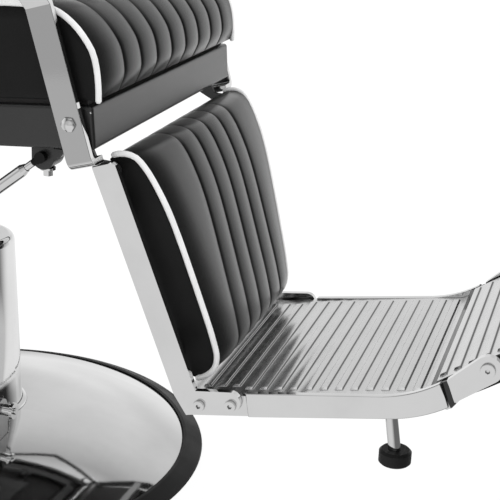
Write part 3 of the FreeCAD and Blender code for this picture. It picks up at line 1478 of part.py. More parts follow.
def make_recline():
    dx, dz = crank_pin()
    leg_pin = (float(S.hinge_x) + dx, float(S.hinge_z) + dz)
    back_pin = (float(S.back_hinge_x) + dx, float(S.back_hinge_z) + dz)
    outer = S.hinge_lug_y - S.hinge_lug_thick - 0.5
    pin_hole = S.crank_pin_radius + S.fit_radial
    open_hole = S.crank_pin_radius + S.gap_small
    knee = (S.link_knee_x, S.link_knee_z)
    inner = outer - S.link_thick
    front_run = strap("LinkFront", WORLD, knee, leg_pin, S.link_half_height, inner, outer)
    rear_run = strap("LinkRear", WORLD, back_pin, knee, S.link_half_height, inner, outer)
    eyes, bores = [], []
    for name, (x, z), radius in (("Leg", leg_pin, pin_hole), ("Back", back_pin, open_hole)):
        eyes.append(rod(f"LinkEye{name}", S.link_half_height + 2, (x, inner, z), S.link_thick, "y"))
        bores.append(rod(f"LinkBore{name}", radius, (x, inner - 1, z), S.link_thick + 2, "y"))
    keep(without("LinkBored", joined("LinkWhole", [front_run, rear_run] + eyes), bores), "recline_link")

    line_z, lock_y = S.lock_z, S.lock_y
    front, rear = S.lock_front, S.lock_rear
    stem_radius = S.lock_stem_radius
    tube = rod("LockTube", S.lock_radius, (rear, lock_y, line_z), front - 15 - rear, "x")
    eye = rod("LockEye", S.lock_radius - 3, (front, lock_y - 8, line_z), 16, "y")
    neck = box("LockNeck", (front - 16, lock_y - 7, line_z - 7), (front - 2, lock_y + 7, line_z + 7))
    bore_length = front - 18 - rear
    bore = rod("LockBore", stem_radius + S.fit_radial, (rear - 5, lock_y, line_z), bore_length, "x")
    eye_hole = rod("LockPinHole", stem_radius + 0.1, (front, lock_y - 30, line_z), 60, "y")
    body = joined("LockBody", [tube, eye, neck])
    keep(without("LockBodyCut", body, [bore, eye_hole]), "lock_cylinder")

    crank_slope = math.tan(math.radians(float(S.crank_back)))
    pin_x = S.back_hinge_x - (S.back_hinge_z - line_z) * crank_slope
    stem_start = pin_x + 6
    stem = rod("LockStem", stem_radius, (stem_start, lock_y, line_z), S.lock_stem_front - stem_start, "x")
    rod_eye = rod("StemEye", stem_radius + 4, (pin_x, lock_y - 7, line_z), 14, "y")
    cross = rod("StemPin", stem_radius, (pin_x, lock_y - 17, line_z), 34, "y")
    keep(joined("LockRod", [stem, rod_eye, cross]), "lock_rod")

    plates = []
    ear = S.lock_radius - 2
    for number, y in enumerate((lock_y - 9 - S.lock_ear_thick, lock_y + 9)):
        plates.append(slab(f"LockEar{number}", "XZ_Plane", [
            (front - ear, line_z),
            (front + ear, line_z, front, line_z - ear),
            (front + 14, frame_underside(float(front) + 14) - 0.1),
            (front - 14, frame_underside(float(front) - 14) - 0.1),
        ], y, y + S.lock_ear_thick))
    bridge = box(
        "LockBridge",
        (front - 12, lock_y - 10, line_z + 33),
        (front + 12, lock_y + 10, line_z + 37.5),
    )
    pin = rod("LockPin", stem_radius, (front, lock_y - 17, line_z), 34, "y")
    keep(joined("LockBracket", plates + [bridge, pin]), "lock_bracket")


def make_lever():
    x, y, z = S.lever_pivot_x, S.lever_y, S.lever_pivot_z
    rod_y = S.lever_plane
    half = S.housing_half
    axle_radius = as_size(4)
    front, rear = x + half, x - half
    housing = slab("lever_housing", "XZ_Plane", [
        (rear, frame_underside(float(rear)) - 0.1),
        (rear, z - 4),
        (front, z - 4, x, z - half - 2),
        (front, frame_underside(float(front)) - 0.1),
    ], y - half, y + half)
    cam = slab("HousingCam", "XZ_Plane", [
        (front - 1, z + 10),
        (front - 1, z - 2),
        (front + 12, z + 10, front + 8, z + 1),
    ], y - half, y - half + 9)
    pivot_hole = rod("LeverPivotHole", axle_radius + S.fit_radial, (x, y - half - 1, z), 2 * half + 2, "y")
    solid = joined("HousingSolid", [housing, cam])
    keep(without("LeverHousing", solid, [pivot_hole]), "lever_housing")

    turn = Rotation(Vector(0, 1, 0), -90 - float(S.lever_drop))
    pivot = Vector(float(x), float(rod_y), float(z))
    along = turn.multVec(Vector(0, 0, 1))

    def on_lever(kind, name, start, sizes):
        """A round piece along the lever, from a distance off its pivot."""
        piece = doc.addObject(kind, name)
        for target, amount in sizes.items():
            bind(piece, target, amount)
        piece.Placement = Placement(pivot + along * float(start), turn)
        return piece

    hub_face = y - half - 0.2
    hub = rod("LeverHub", 6.5, (x, rod_y - 4.5, z), hub_face - rod_y + 4.5, "y")
    axle = rod("LeverAxle", axle_radius, (x, rod_y, z), y + half - 0.2 - rod_y, "y")
    stem = on_lever("Part::Cylinder", "LeverStem", 0, {
        "Radius": S.lever_stem_radius, "Height": S.lever_stem_length,
    })
    body_side = box("LeverStemTrim", (x - 40, hub_face, z - 40), (x + 10, y, z + 10))
    stem = without("LeverStemTrimmed", stem, [body_side])
    keep(joined("LeverWhole", [hub, axle, stem]), "recline_lever")

    nose_length = as_size(6)
    outer = on_lever("Part::Cylinder", "GripOuter", S.grip_start, {
        "Radius": S.grip_radius, "Height": S.grip_length,
    })
    nose = on_lever("Part::Cone", "GripNose", S.grip_start - nose_length, {
        "Radius1": S.grip_radius - 2, "Radius2": S.grip_radius, "Height": nose_length,
    })
    bore_start = S.grip_start - nose_length - 1
    bore = on_lever("Part::Cylinder", "GripBore", bore_start, {
        "Radius": S.lever_stem_radius + S.fit_radial,
        "Height": S.lever_stem_length + 0.2 - bore_start,
    })
    keep(without("LeverGrip", joined("GripSolid", [outer, nose]), [bore]), "lever_grip")

    head_height = as_size(7)
    flange_thick = as_size(2.5)
    flange_foot = z - half - 2.1 - flange_thick
    head = doc.addObject("Part::Prism", "HousingBoltHead")
    head.Polygon = 6
    bind(head, "Circumradius", S.housing_bolt_radius - 3)
    bind(head, "Height", head_height)
    head.Placement = Placement(Vector(float(x), float(y), float(flange_foot - head_height)), Rotation())
    flange = rod("HousingBoltFlange", S.housing_bolt_radius, (x, y, flange_foot), flange_thick)
    keep(joined("HousingBolt", [head, flange]), "housing_bolt")


def back_foot_point(reach):
    """A point of the backrest's frame down its crank line, at a distance off the hinge."""
    back = math.radians(float(S.crank_back))
    return BACK.local(
        float(S.back_hinge_x) - reach * math.sin(back),
        float(S.back_hinge_z) - reach * math.cos(back),
    )


def make_back_frame():
    width, tube_y = S.back_half_width, S.back_tube_y
    start = S.back_start
    top = start + S.back_height
    wall, half = S.tube_wall, S.back_tube_half
    rear, front = S.back_tube_rear, S.back_tube_front
    lug_low, lug_high = S.hinge_lug_y - S.hinge_lug_thick, S.hinge_lug_y
    outer, inner = [], []
    for sign in (RIGHT, LEFT):
        y = sign * tube_y
        low, high = (rear, y - half, 30), (front, y + half, top - 30)
        outer.append(box(f"Upright{sign}", low, high, BACK))
        low, high = (rear + wall, y - half + wall, 25), (front - wall, y + half - wall, top - 25)
        inner.append(box(f"UprightVoid{sign}", low, high, BACK))
    for number, z in enumerate((as_size(14), start + 150, top - 54)):
        reach = lug_low + 0.5 if number == 0 else tube_y
        low, high = (rear, -reach, z), (front, reach, z + 2 * half)
        outer.append(box(f"BackCross{number}", low, high, BACK))
        low = (rear + wall, -reach - 5, z + wall)
        high = (front - wall, reach + 5, z + 2 * half - wall)
        inner.append(box(f"BackCrossVoid{number}", low, high, BACK))
    for sign in (RIGHT, LEFT):
        spot = (S.head_bar_x, sign * S.head_post_gap, top - 60)
        inner.append(rod(f"HeadRodSpace{sign}", S.head_post_radius + 1, spot, 40, "z", BACK))
    tubes = without("BackTubesHollow", joined("BackTubes", outer), [joined("BackVoids", inner)])

    hole = S.hinge_pin_radius + S.fit_radial
    parts = [tubes]
    pin_spot = back_foot_point(float(S.crank_radius))
    for sign, side in SIDES:
        low, high = sorted((sign * lug_low, sign * lug_high), key=float)
        parts.append(slab(f"BackLug{side}", "XZ_Plane", [
            (12, 0), (8, 38), (rear, 38), (-12, 0),
        ], low, high, frame=BACK))
        parts.append(rod(f"BackLugEye{side}", S.hinge_lug_radius, (0, low, 0), high - low, "y", BACK))
    parts.append(strap("BackCrank", BACK, (0, 0), pin_spot, S.crank_half_width, lug_low, lug_high))
    pin_start = (pin_spot[0], lug_low - 7, pin_spot[1])
    parts.append(rod("BackCrankPin", S.crank_pin_radius, pin_start, 8, "y", BACK))
    drop = float(S.back_hinge_z) - float(S.lock_z)
    slot_ends = (
        back_foot_point(drop - 2.5),
        back_foot_point(drop / math.cos(math.radians(float(S.crank_back))) + 2.5),
    )
    for number, y in enumerate((S.lock_y - 15.5, S.lock_y + 10.5)):
        tip = back_foot_point(float(S.slot_arm_reach))
        arm = strap(f"SlotArm{number}", BACK, (-4, 24), tip, S.slot_arm_half, y, y + 5)
        slot = strap(f"SlotHole{number}", BACK, *slot_ends, S.slot_half_width, y - 2, y + 7)
        parts.append(without(f"SlotCrank{number}", arm, [slot]))
    solid = joined("BackFrameJoined", parts)
    bores = [rod("BackBore", hole, (0, -230, 0), 460, "y", BACK)]
    keep(without("BackFrame", solid, bores), "backrest_frame")

    face = S.back_panel_face
    corner = as_size(40)
    cut = corner * (1 - math.sqrt(0.5))
    shell = slab("BackPanel", "YZ_Plane", [
        (20 - width, start - 10),
        (width - 20, start - 10),
        (width, start + 10),
        (width, top - corner),
        (width - corner, top, width - cut, top - cut),
        (corner - width, top),
        (-width, top - corner, cut - width, top - cut),
        (-width, start + 10),
    ], face - S.back_panel_thick, face, round_all=3, frame=BACK)
    keep(shell, "backrest_panel")


def make_headrest():
    top = S.back_start + S.back_height
    middle = top + S.head_gap
    gap, radius, x = S.head_post_gap, S.head_post_radius, S.head_bar_x
    cross_radius = S.head_cross_radius
    fit = S.fit_radial
    foot = top - 210
    rods = []
    for sign in (RIGHT, LEFT):
        rods.append(rod(f"HeadRod{sign}", radius, (x, sign * gap, foot), middle - foot, "z", BACK))
    rods.append(rod("HeadCross", cross_radius, (x, -gap - 30, middle - radius), 2 * gap + 60, "y", BACK))
    keep(joined("HeadPost", rods), "headrest_post")

    guides, bores = [], []
    guide_low = top - 29.5
    for sign in (RIGHT, LEFT):
        guides.append(rod(f"Guide{sign}", 11, (x, sign * gap, guide_low), 32, "z", BACK))
        bores.append(rod(f"GuideBore{sign}", radius + fit, (x, sign * gap, top - 100), 200, "z", BACK))
    bridge = box("GuideBridge", (x - 6, -gap, guide_low), (x + 6, gap, top - 12), BACK)
    keep(without("HeadGuide", joined("GuideSolid", guides + [bridge]), bores), "headrest_guide")

    clamps = []
    pivot = middle - radius
    for sign in (RIGHT, LEFT):
        low, high = sorted((sign * (gap + 12), sign * (gap + 28)), key=float)
        clamps.append(rod(f"ClampEye{sign}", 12, (x, low, pivot), high - low, "y", BACK))
        clamps.append(box(f"ClampArm{sign}", (x, low, pivot - 9), (16, high, pivot + 9), BACK))
    plate = box("HeadPlate", (15, -gap - 40, middle - 34), (20, gap + 40, middle + 34), BACK)
    bore = rod("ClampBore", cross_radius + fit, (x, -gap - 60, pivot), 2 * gap + 120, "y", BACK)
    keep(without("HeadBracket", joined("HeadBracketSolid", clamps + [plate]), [bore]), "headrest_bracket")


# Cushions: closed lofts with a crown, drawn-in sides and sewn channels.

def cushion(label, frame, along, stations, channels, crown, depth):
    """A channelled cushion. Each station is its place along the cushion, the half width,
    the plane it starts from and its thickness; along names the frame's axis of the stations."""
    wires = []
    for place, half, base, thick in stations:
        place, half, base, thick = (float(as_size(a)) for a in (place, half, base, thick))

        def spot(y, t):
            if along == "x":
                return Vector(place, y, base + t)
            return Vector(base + t, y, place)

        full = min(1.0, thick / stations[len(stations) // 2][3].value)
        seams = [-half + 3] + [c for c in channels] + [half - 3]

        def height(y, sunk):
            rise = crown * full * (1 - (y / half) ** 2)
            return thick + rise - (depth * full if sunk else 0)

        edges = [Part.LineSegment(spot(-half + 3, 0), spot(half - 3, 0))]
        edges.append(Part.Arc(spot(half - 3, 0), spot(half, thick / 2), spot(half - 3, thick)))
        for number in range(len(seams) - 1, 0, -1):
            a, b = seams[number], seams[number - 1]
            ha = thick if number == len(seams) - 1 else height(a, True)
            hb = thick if number == 1 else height(b, True)
            middle = (a + b) / 2
            edges.append(Part.Arc(spot(a, ha), spot(middle, height(middle, False) + 1), spot(b, hb)))
        edges.append(Part.Arc(spot(-half + 3, thick), spot(-half, thick / 2), spot(-half + 3, 0)))
        wires.append(Part.Wire([edge.toShape() for edge in edges]))
    solid = Part.makeLoft(wires, True, True)
    piece = doc.addObject("Part::Feature", label)
    piece.Shape = solid
    piece.Placement = frame.placement()
    return piece


def channel_rows(pitch, count):
    return [float(pitch) * (number - (count - 1) / 2) for number in range(count)]


def make_cushions():
    crown, depth = float(S.cushion_crown), float(S.channel_depth)
    base = S.skirt_height + S.board_thick + 0.3
    high = S.cushion_height
    half = S.seat_half_width - S.cushion_side_gap
    rear = -S.seat_depth - 24
    seat_stations = [
        (rear, half - 3, base, high * 0.45),
        (rear + 3, half, base, high * 0.78),
        (rear + 12, half, base, high * 0.93),
        (rear + 30, half, base, high),
        (-60, half, base, high),
        (-38, half, base, high * 0.955),
        (-19, half, base, high * 0.85),
        (-6, half, base, high * 0.69),
        (2, half, base, high * 0.5),
        (5, half - 2, base, high * 0.34),
    ]
    seat_channels = channel_rows(S.channel_pitch, 8)
    keep(cushion("SeatCushion", SEAT, "x", seat_stations, seat_channels, crown, depth), "seat_cushion")

    def at(height):
        part = (float(S.leg_cushion_top) - height) / float(S.leg_cushion_length)
        return float(S.leg_cushion_top_half) * (1 - part) + float(S.leg_cushion_foot_half) * part

    thick = S.leg_cushion_thick - 3
    base = S.leg_cushion_base
    low = float(S.leg_cushion_top) - float(S.leg_cushion_length)
    leg_stations = []
    for height, share in (
        (low, 0.22), (low + 3, 0.42), (low + 12, 0.68), (low + 26, 0.86), (low + 60, 0.97),
        (-150, 1.0), (-80, 0.99), (-40, 0.93), (-14, 0.8), (1, 0.58), (float(S.leg_cushion_top), 0.3),
    ):
        leg_stations.append((height, at(height) - 3, base, thick * share))
    leg_channels = channel_rows(S.leg_channel_pitch, 5)
    leg_cushion = cushion("LegCushion", LEG, "z", leg_stations, leg_channels, crown * 0.6, depth)
    keep(leg_cushion, "leg_rest_cushion")

    start = S.back_start
    height = S.back_height
    half = S.back_half_width
    thick = S.back_thick - 12
    back_stations = []
    for part, share, inset in (
        (0, 0.3, 6), (0.006, 0.55, 3), (0.03, 0.82, 0), (0.08, 0.96, 0), (0.2, 1, 0), (0.32, 1, 0),
        (0.75, 0.86, 2), (0.92, 0.8, 6), (0.97, 0.68, 12), (0.995, 0.45, 22), (1, 0.25, 28),
    ):
        back_stations.append((start + height * part, half - inset, as_size(8), thick * share))
    back_channels = channel_rows(S.channel_pitch * 0.94, 8)
    keep(cushion("BackCushion", BACK, "z", back_stations, back_channels, crown, depth), "backrest_cushion")

    top = start + height
    middle = top + S.head_gap
    half = S.head_half_width
    thick = S.head_thick - 8
    head_stations = []
    for part, share, inset in (
        (-0.5, 0.3, 8), (-0.47, 0.58, 3), (-0.38, 0.84, 0), (-0.2, 0.98, 0), (0, 1, 0),
        (0.2, 0.98, 0), (0.38, 0.84, 0), (0.47, 0.58, 3), (0.5, 0.3, 8),
    ):
        head_stations.append((middle + S.head_height * part, half - inset, as_size(20.3), thick * share))
    head_channels = channel_rows(S.channel_pitch * 0.94, 4)
    head_cushion = cushion("HeadCushion", BACK, "z", head_stations, head_channels, 6, depth * 0.8)
    keep(head_cushion, "headrest_cushion")

    flap_half = float(S.flap_half_length) + 1
    flap_stations = []
    for part, share in (
        (-1, 0.45), (-0.96, 0.75), (-0.8, 0.96), (0, 1), (0.8, 0.96), (0.96, 0.75), (1, 0.45),
    ):
        thick = (S.flap_pad_thick - 5) * share
        flap_stations.append((flap_half * part, S.flap_pad_half_width, as_size(0), thick))
    pad_frame = Frame(S.flap_x, S.flap_z, S.flap_tilt + 180)
    pad = cushion("FlapPad", pad_frame, "x", flap_stations, [], 4, 0)
    shift = FLAP.point(0, 0, 0.6) - FLAP.point(0, 0, 0)
    pad.Placement = Placement(pad_frame.placement().Base + shift, pad_frame.placement().Rotation)
    keep(pad, "flap_pad")

    for sign, side in SIDES:
        length = float(S.armrest_length) / 2
        arm_stations = []
        for part, share, inset in (
            (-1, 0.4, 10), (-0.985, 0.7, 5), (-0.93, 0.93, 1), (-0.8, 1, 0), (0.8, 1, 0),
            (0.93, 0.93, 1), (0.985, 0.7, 5), (1, 0.4, 10),
        ):
            arm_stations.append((
                length * part, S.armrest_width / 2 - inset, as_size(0), (S.armrest_height - 5) * share,
            ))
        pad = cushion(f"Armrest{side}", WORLD, "x", arm_stations, [], 5, 0)
        z = float(S.armrest_z) + float(S.armrest_top_plate) + 0.2
        pad.Placement = Placement(Vector(float(S.armrest_x), sign * float(S.armrest_y), z), Rotation())
        keep(pad, f"armrest_pad_{side}")


def check_and_export():
    doc.recompute()
    for thing in doc.Objects:
        for word in ("Invalid", "Error"):
            if word in thing.State:
                raise RuntimeError(f"{thing.Name} is {word}")
    os.makedirs("parts", exist_ok=True)
    for thing in kept:
        shape = thing.Shape
        if shape.isNull() or not shape.isValid() or shape.Volume <= 0 or not shape.Solids:
            raise RuntimeError(f"{thing.Label} has no valid shape")
    for thing in kept:
        thing.Shape.exportStep(f"parts/{thing.Label}.step")
        box_size = thing.Shape.BoundBox
        low = (box_size.XMin, box_size.YMin, box_size.ZMin)
        high = (box_size.XMax, box_size.YMax, box_size.ZMax)
        spans = " ".join(f"{a} {b:.0f}..{c:.0f}" for a, b, c in zip("xyz", low, high))
        volume = thing.Shape.Volume / 1000
        print(f"{thing.Label}: {len(thing.Shape.Solids)} solid, {volume:.1f} cm3, {spans}")
    print(len(kept), "sub-parts")


make_base()
make_column()
make_ram()
make_pedal()
make_seat()
make_arms()
make_armrests()
make_leg_rest()
make_hinge_brackets()
make_footrest()
make_flap()
make_recline()
make_lever()
make_back_frame()
make_headrest()
make_cushions()
check_and_export()
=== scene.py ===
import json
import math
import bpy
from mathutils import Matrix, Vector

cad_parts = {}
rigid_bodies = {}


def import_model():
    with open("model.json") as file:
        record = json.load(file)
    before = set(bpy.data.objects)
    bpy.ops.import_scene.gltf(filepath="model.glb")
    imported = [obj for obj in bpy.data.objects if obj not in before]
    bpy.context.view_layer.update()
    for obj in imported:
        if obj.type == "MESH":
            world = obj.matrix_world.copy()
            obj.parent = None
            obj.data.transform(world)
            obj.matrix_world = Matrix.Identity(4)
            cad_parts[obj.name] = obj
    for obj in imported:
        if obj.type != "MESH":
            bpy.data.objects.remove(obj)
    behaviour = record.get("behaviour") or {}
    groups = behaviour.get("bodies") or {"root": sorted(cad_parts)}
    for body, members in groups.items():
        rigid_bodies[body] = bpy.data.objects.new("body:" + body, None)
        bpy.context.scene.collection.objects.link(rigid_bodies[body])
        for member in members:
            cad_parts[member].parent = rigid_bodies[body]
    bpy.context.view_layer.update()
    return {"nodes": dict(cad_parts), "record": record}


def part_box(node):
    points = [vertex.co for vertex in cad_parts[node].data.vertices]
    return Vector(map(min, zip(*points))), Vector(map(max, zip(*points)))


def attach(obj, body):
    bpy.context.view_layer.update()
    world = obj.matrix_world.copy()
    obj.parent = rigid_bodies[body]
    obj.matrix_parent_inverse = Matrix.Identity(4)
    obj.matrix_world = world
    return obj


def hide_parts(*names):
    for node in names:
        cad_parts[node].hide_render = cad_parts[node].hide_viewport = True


bl_info = {
    "name": "Barber chair upholstery and finishes",
    "version": (1, 0, 0),
    "blender": (4, 5, 0),
    "location": "3D View > Sidebar > Barber chair",
    "description": "Sewn cushions, metal and leather finishes and a plain stage for the barber chair",
    "category": "Object",
}

from types import SimpleNamespace

import bmesh
import bpy
from bpy.props import FloatProperty, FloatVectorProperty, PointerProperty
from mathutils import Matrix, Vector, noise

for leftover in list(bpy.data.objects):
    bpy.data.objects.remove(leftover)
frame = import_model()

# The chair faces +X, +Y is the sitter's left and +Z is up. Shapes are given in
# millimetres of a tilted frame of the chair and turned into metres as they are made.
MM = 0.001


class Tilt:
    """A tilted frame of the chair: its origin in millimetres and its lean in degrees."""

    def __init__(self, x, z, lean):
        turn = math.radians(lean)
        self.origin = Vector((x, 0, z))
        self.ahead = Vector((math.cos(turn), 0, -math.sin(turn)))
        self.rise = Vector((math.sin(turn), 0, math.cos(turn)))

    def at(self, x, y, z):
        spot = self.origin + self.ahead * x + self.rise * z
        return (spot + Vector((0, y, 0))) * MM


LEVEL = Tilt(0, 0, 0)
SEAT = Tilt(292, 517, -4)
LEG = Tilt(294, 497, -18)
BACK = Tilt(-196, 556, -9)
FOOT = Tilt(392, 216.7, -9.5)
FLAP = Tilt(730, 306, -34)

SIDES = ((-1, "right"), (1, "left"))


# Sizes and colours that a user may change.

def length(name, description, default, low=0.0, high=100.0):
    return FloatProperty(name=name, description=description, default=default, min=low, max=high)


def colour(name, description, default):
    return FloatVectorProperty(
        name=name, description=description, default=default, subtype="COLOR", min=0.0, max=1.0
    )


class ChairUpholstery(bpy.types.PropertyGroup):
    crown: length("Crown", "How far the middle of a cushion stands over its edge, in mm", 1.5)
    shoulder: length("Shoulder", "How far the leather rises beside the piping, in mm", 6.0)
    groove_depth: length("Channel depth", "Depth of a sewn channel, in mm", 2.0)
    groove_width: length("Channel width", "Half width of a sewn channel, in mm", 1.3)
    puff: length("Puff", "How far the leather stands between two channels, in mm", 2.6)
    pressure: length("Swell", "Air pressure that swells the sewn leather", 3.0)
    swell_limit: length("Swell limit", "The furthest that swelling moves the leather, in mm", 4.0)
    piping_radius: length("Piping radius", "Radius of the piping, in mm", 3.5)
    leather: colour("Leather", "Colour of the leather", (0.008, 0.008, 0.008))
    piping: colour("Piping", "Colour of the piping", (0.93, 0.93, 0.93))
    thread: colour("Thread", "Colour of the sewing thread", (0.05, 0.05, 0.05))
    leather_roughness: length("Leather roughness", "Roughness of the leather", 0.31, 0.05, 1.0)
    grain: length("Leather grain", "Width of a grain cell of the leather, in mm", 1.3, 0.2, 5.0)


class ChairFinishes(bpy.types.PropertyGroup):
    chrome: colour("Chrome", "Colour of the chrome plating", (0.81, 0.81, 0.81))
    aluminium: colour("Aluminium", "Colour of the polished aluminium", (0.74, 0.74, 0.74))
    steel: colour("Steel", "Colour of the bare steel", (0.46, 0.46, 0.46))
    iron: colour("Iron", "Colour of the cast iron", (0.09, 0.09, 0.09))
    enamel: colour("Enamel", "Colour of the black enamel", (0.018, 0.018, 0.018))
    rubber: colour("Rubber", "Colour of the rubber", (0.009, 0.009, 0.009))
    wood: colour("Board", "Colour of the painted boards", (0.012, 0.011, 0.011))
    chrome_roughness: length("Chrome roughness", "Roughness of the chrome", 0.035, 0.02, 1.0)
    aluminium_roughness: length("Aluminium roughness", "Roughness of the aluminium", 0.24, 0.02, 1.0)


class ChairStage(bpy.types.PropertyGroup):
    camera_place: FloatVectorProperty(
        name="Camera", description="Place of the camera", subtype="TRANSLATION", unit="LENGTH",
        default=(0.83424, -1.47746, 0.86232),
    )
    camera_aim: FloatVectorProperty(
        name="Aim", description="Point that the camera looks at", subtype="TRANSLATION",
        unit="LENGTH", default=(0.329801, 0.251736, 0.257819),
    )
    camera_roll: FloatProperty(
        name="Roll", description="Roll of the camera", subtype="ANGLE", default=math.radians(2.446)
    )
    lens: FloatProperty(name="Lens", description="Focal length", default=91.88, unit="CAMERA")
    sky: length("Sky", "Strength of the plain light all round", 1.0)
    key: length("Key lamp", "Strength of the large lamp ahead of the chair, in watts", 12.0)
    top: length("Top lamp", "Strength of the lamp over the chair, in watts", 10.0)
    fill: length("Fill lamp", "Strength of the lamp beside the camera, in watts", 5.0)


# Shader groups that several materials share.

def group_sockets(name, inputs, outputs):
    """A shader node group with its sockets; inputs are name and default."""
    group = bpy.data.node_groups.new(name, "ShaderNodeTree")
    for label, default in inputs:
        socket = group.interface.new_socket(name=label, in_out="INPUT", socket_type="NodeSocketFloat")
        socket.default_value = default
    for label in outputs:
        group.interface.new_socket(name=label, in_out="OUTPUT", socket_type="NodeSocketFloat")
    entry = group.nodes.new("NodeGroupInput")
    leave = group.nodes.new("NodeGroupOutput")
    return group, entry, leave


def join(tree, source, target):
    tree.links.new(source, target)


def math_node(tree, operation, first, second=None, clamp=False):
    """A Math node; each value is a number or a socket."""
    node = tree.nodes.new("ShaderNodeMath")
    node.operation = operation
    node.use_clamp = clamp
    for index, value in enumerate((first, second)):
        if value is not None:
            put(tree, value, node.inputs[index])
    return node.outputs[0]


def spread(tree, value, low, high, to_low=0.0, to_high=1.0):
    """Maps a value from one range to another, smoothly."""
    node = tree.nodes.new("ShaderNodeMapRange")
    node.interpolation_type = "SMOOTHSTEP"
    for label, given in (
        ("Value", value), ("From Min", low), ("From Max", high), ("To Min", to_low), ("To Max", to_high)
    ):
        put(tree, given, node.inputs[label])
    return node.outputs["Result"]


def put(tree, value, socket):
    """Gives a socket its value, which is a number, a vector or another socket."""
    if isinstance(value, bpy.types.NodeSocket):
        join(tree, value, socket)
    else:
        socket.default_value = value


def vector_node(tree, operation, first, second=None, output="Vector"):
    """A Vector Math node; each value is a vector or a socket."""
    node = tree.nodes.new("ShaderNodeVectorMath")
    node.operation = operation
    for index, value in enumerate((first, second)):
        if value is not None:
            put(tree, value, node.inputs[index])
    return node.outputs[output]


def object_place(tree):
    return tree.nodes.new("ShaderNodeTexCoord").outputs["Object"]


def parts_of(tree, vector):
    node = tree.nodes.new("ShaderNodeSeparateXYZ")
    join(tree, vector, node.inputs[0])
    return node.outputs


def attribute(tree, name):
    node = tree.nodes.new("ShaderNodeAttribute")
    node.attribute_name = name
    return node.outputs["Fac"]


def noise_value(tree, vector, scale, detail=3.0, roughness=0.55):
    node = tree.nodes.new("ShaderNodeTexNoise")
    for label, value in (
        ("Vector", vector), ("Scale", scale), ("Detail", detail), ("Roughness", roughness)
    ):
        put(tree, value, node.inputs[label])
    return node.outputs["Fac"]


def leather_grain_group():
    """Pebbled grain: cells parted by fine creases, with broad soft variation."""
    group, entry, leave = group_sockets(
        "Leather grain", (("Cell", 0.0013), ("Crease", 0.25)), ("Height", "Tone", "Crease")
    )
    place = object_place(group)
    scale = math_node(group, "DIVIDE", 1.0, entry.outputs["Cell"])
    cells = group.nodes.new("ShaderNodeTexVoronoi")
    cells.feature = "DISTANCE_TO_EDGE"
    join(group, place, cells.inputs["Vector"])
    join(group, scale, cells.inputs["Scale"])
    wide = math_node(group, "MAXIMUM", entry.outputs["Crease"], 0.01)
    pebble = math_node(group, "DIVIDE", cells.outputs["Distance"], wide, clamp=True)
    fine = noise_value(group, place, math_node(group, "MULTIPLY", scale, 1.7), 2.0)
    height = math_node(group, "ADD", pebble, math_node(group, "MULTIPLY", fine, 0.35))
    join(group, height, leave.inputs["Height"])
    broad = noise_value(group, place, 9.0, 3.0)
    join(group, spread(group, broad, 0.3, 0.7), leave.inputs["Tone"])
    join(group, math_node(group, "SUBTRACT", 1.0, pebble), leave.inputs["Crease"])
    return group


def handling_group():
    """Broad smudges and fine scuffs that vary the gloss of a handled surface."""
    group, entry, leave = group_sockets(
        "Handling marks", (("Scale", 14.0), ("Scuffs", 0.3)), ("Smudge", "Scuff", "Grit")
    )
    place = object_place(group)
    broad = noise_value(group, place, entry.outputs["Scale"], 4.0, 0.6)
    join(group, spread(group, broad, 0.35, 0.75), leave.inputs["Smudge"])
    stretch = group.nodes.new("ShaderNodeMapping")
    stretch.inputs["Scale"].default_value = (1.0, 6.0, 1.6)
    stretch.inputs["Rotation"].default_value = (0.4, 0.9, 0.3)
    join(group, place, stretch.inputs["Vector"])
    hair = noise_value(group, stretch.outputs["Vector"], 160.0, 2.0)
    scuff = math_node(group, "MULTIPLY", spread(group, hair, 0.62, 0.78), entry.outputs["Scuffs"])
    join(group, scuff, leave.inputs["Scuff"])
    join(group, noise_value(group, place, 900.0, 2.0), leave.inputs["Grit"])
    return group


def brushed_group():
    """Fine lines left by polishing along one direction."""
    group, entry, leave = group_sockets(
        "Polishing lines", (("Across X", 900.0), ("Across Y", 8.0), ("Across Z", 900.0)),
        ("Lines", "Drift"),
    )
    place = object_place(group)
    scale = group.nodes.new("ShaderNodeCombineXYZ")
    for axis in "XYZ":
        join(group, entry.outputs["Across " + axis], scale.inputs[axis])
    stretched = vector_node(group, "MULTIPLY", place, scale.outputs[0])
    join(group, noise_value(group, stretched, 1.0, 2.0), leave.inputs["Lines"])
    join(group, noise_value(group, place, 7.0, 2.0), leave.inputs["Drift"])
    return group


def crevice_shade_group():
    """Painted shade: ambient occlusion darkens the colour in the corners between two parts."""
    group, _, leave = group_sockets("Painted crevice shade", (), ("Mask",))
    near = group.nodes.new("ShaderNodeAmbientOcclusion")
    near.samples = 6
    near.inputs["Distance"].default_value = 0.0025
    join(group, spread(group, near.outputs["AO"], 0.35, 0.8, 0.9, 0.0), leave.inputs["Mask"])
    return group


# The distance from one rib of the ribbed plates to the next, in millimetres.
RIB_PITCH = 18.2


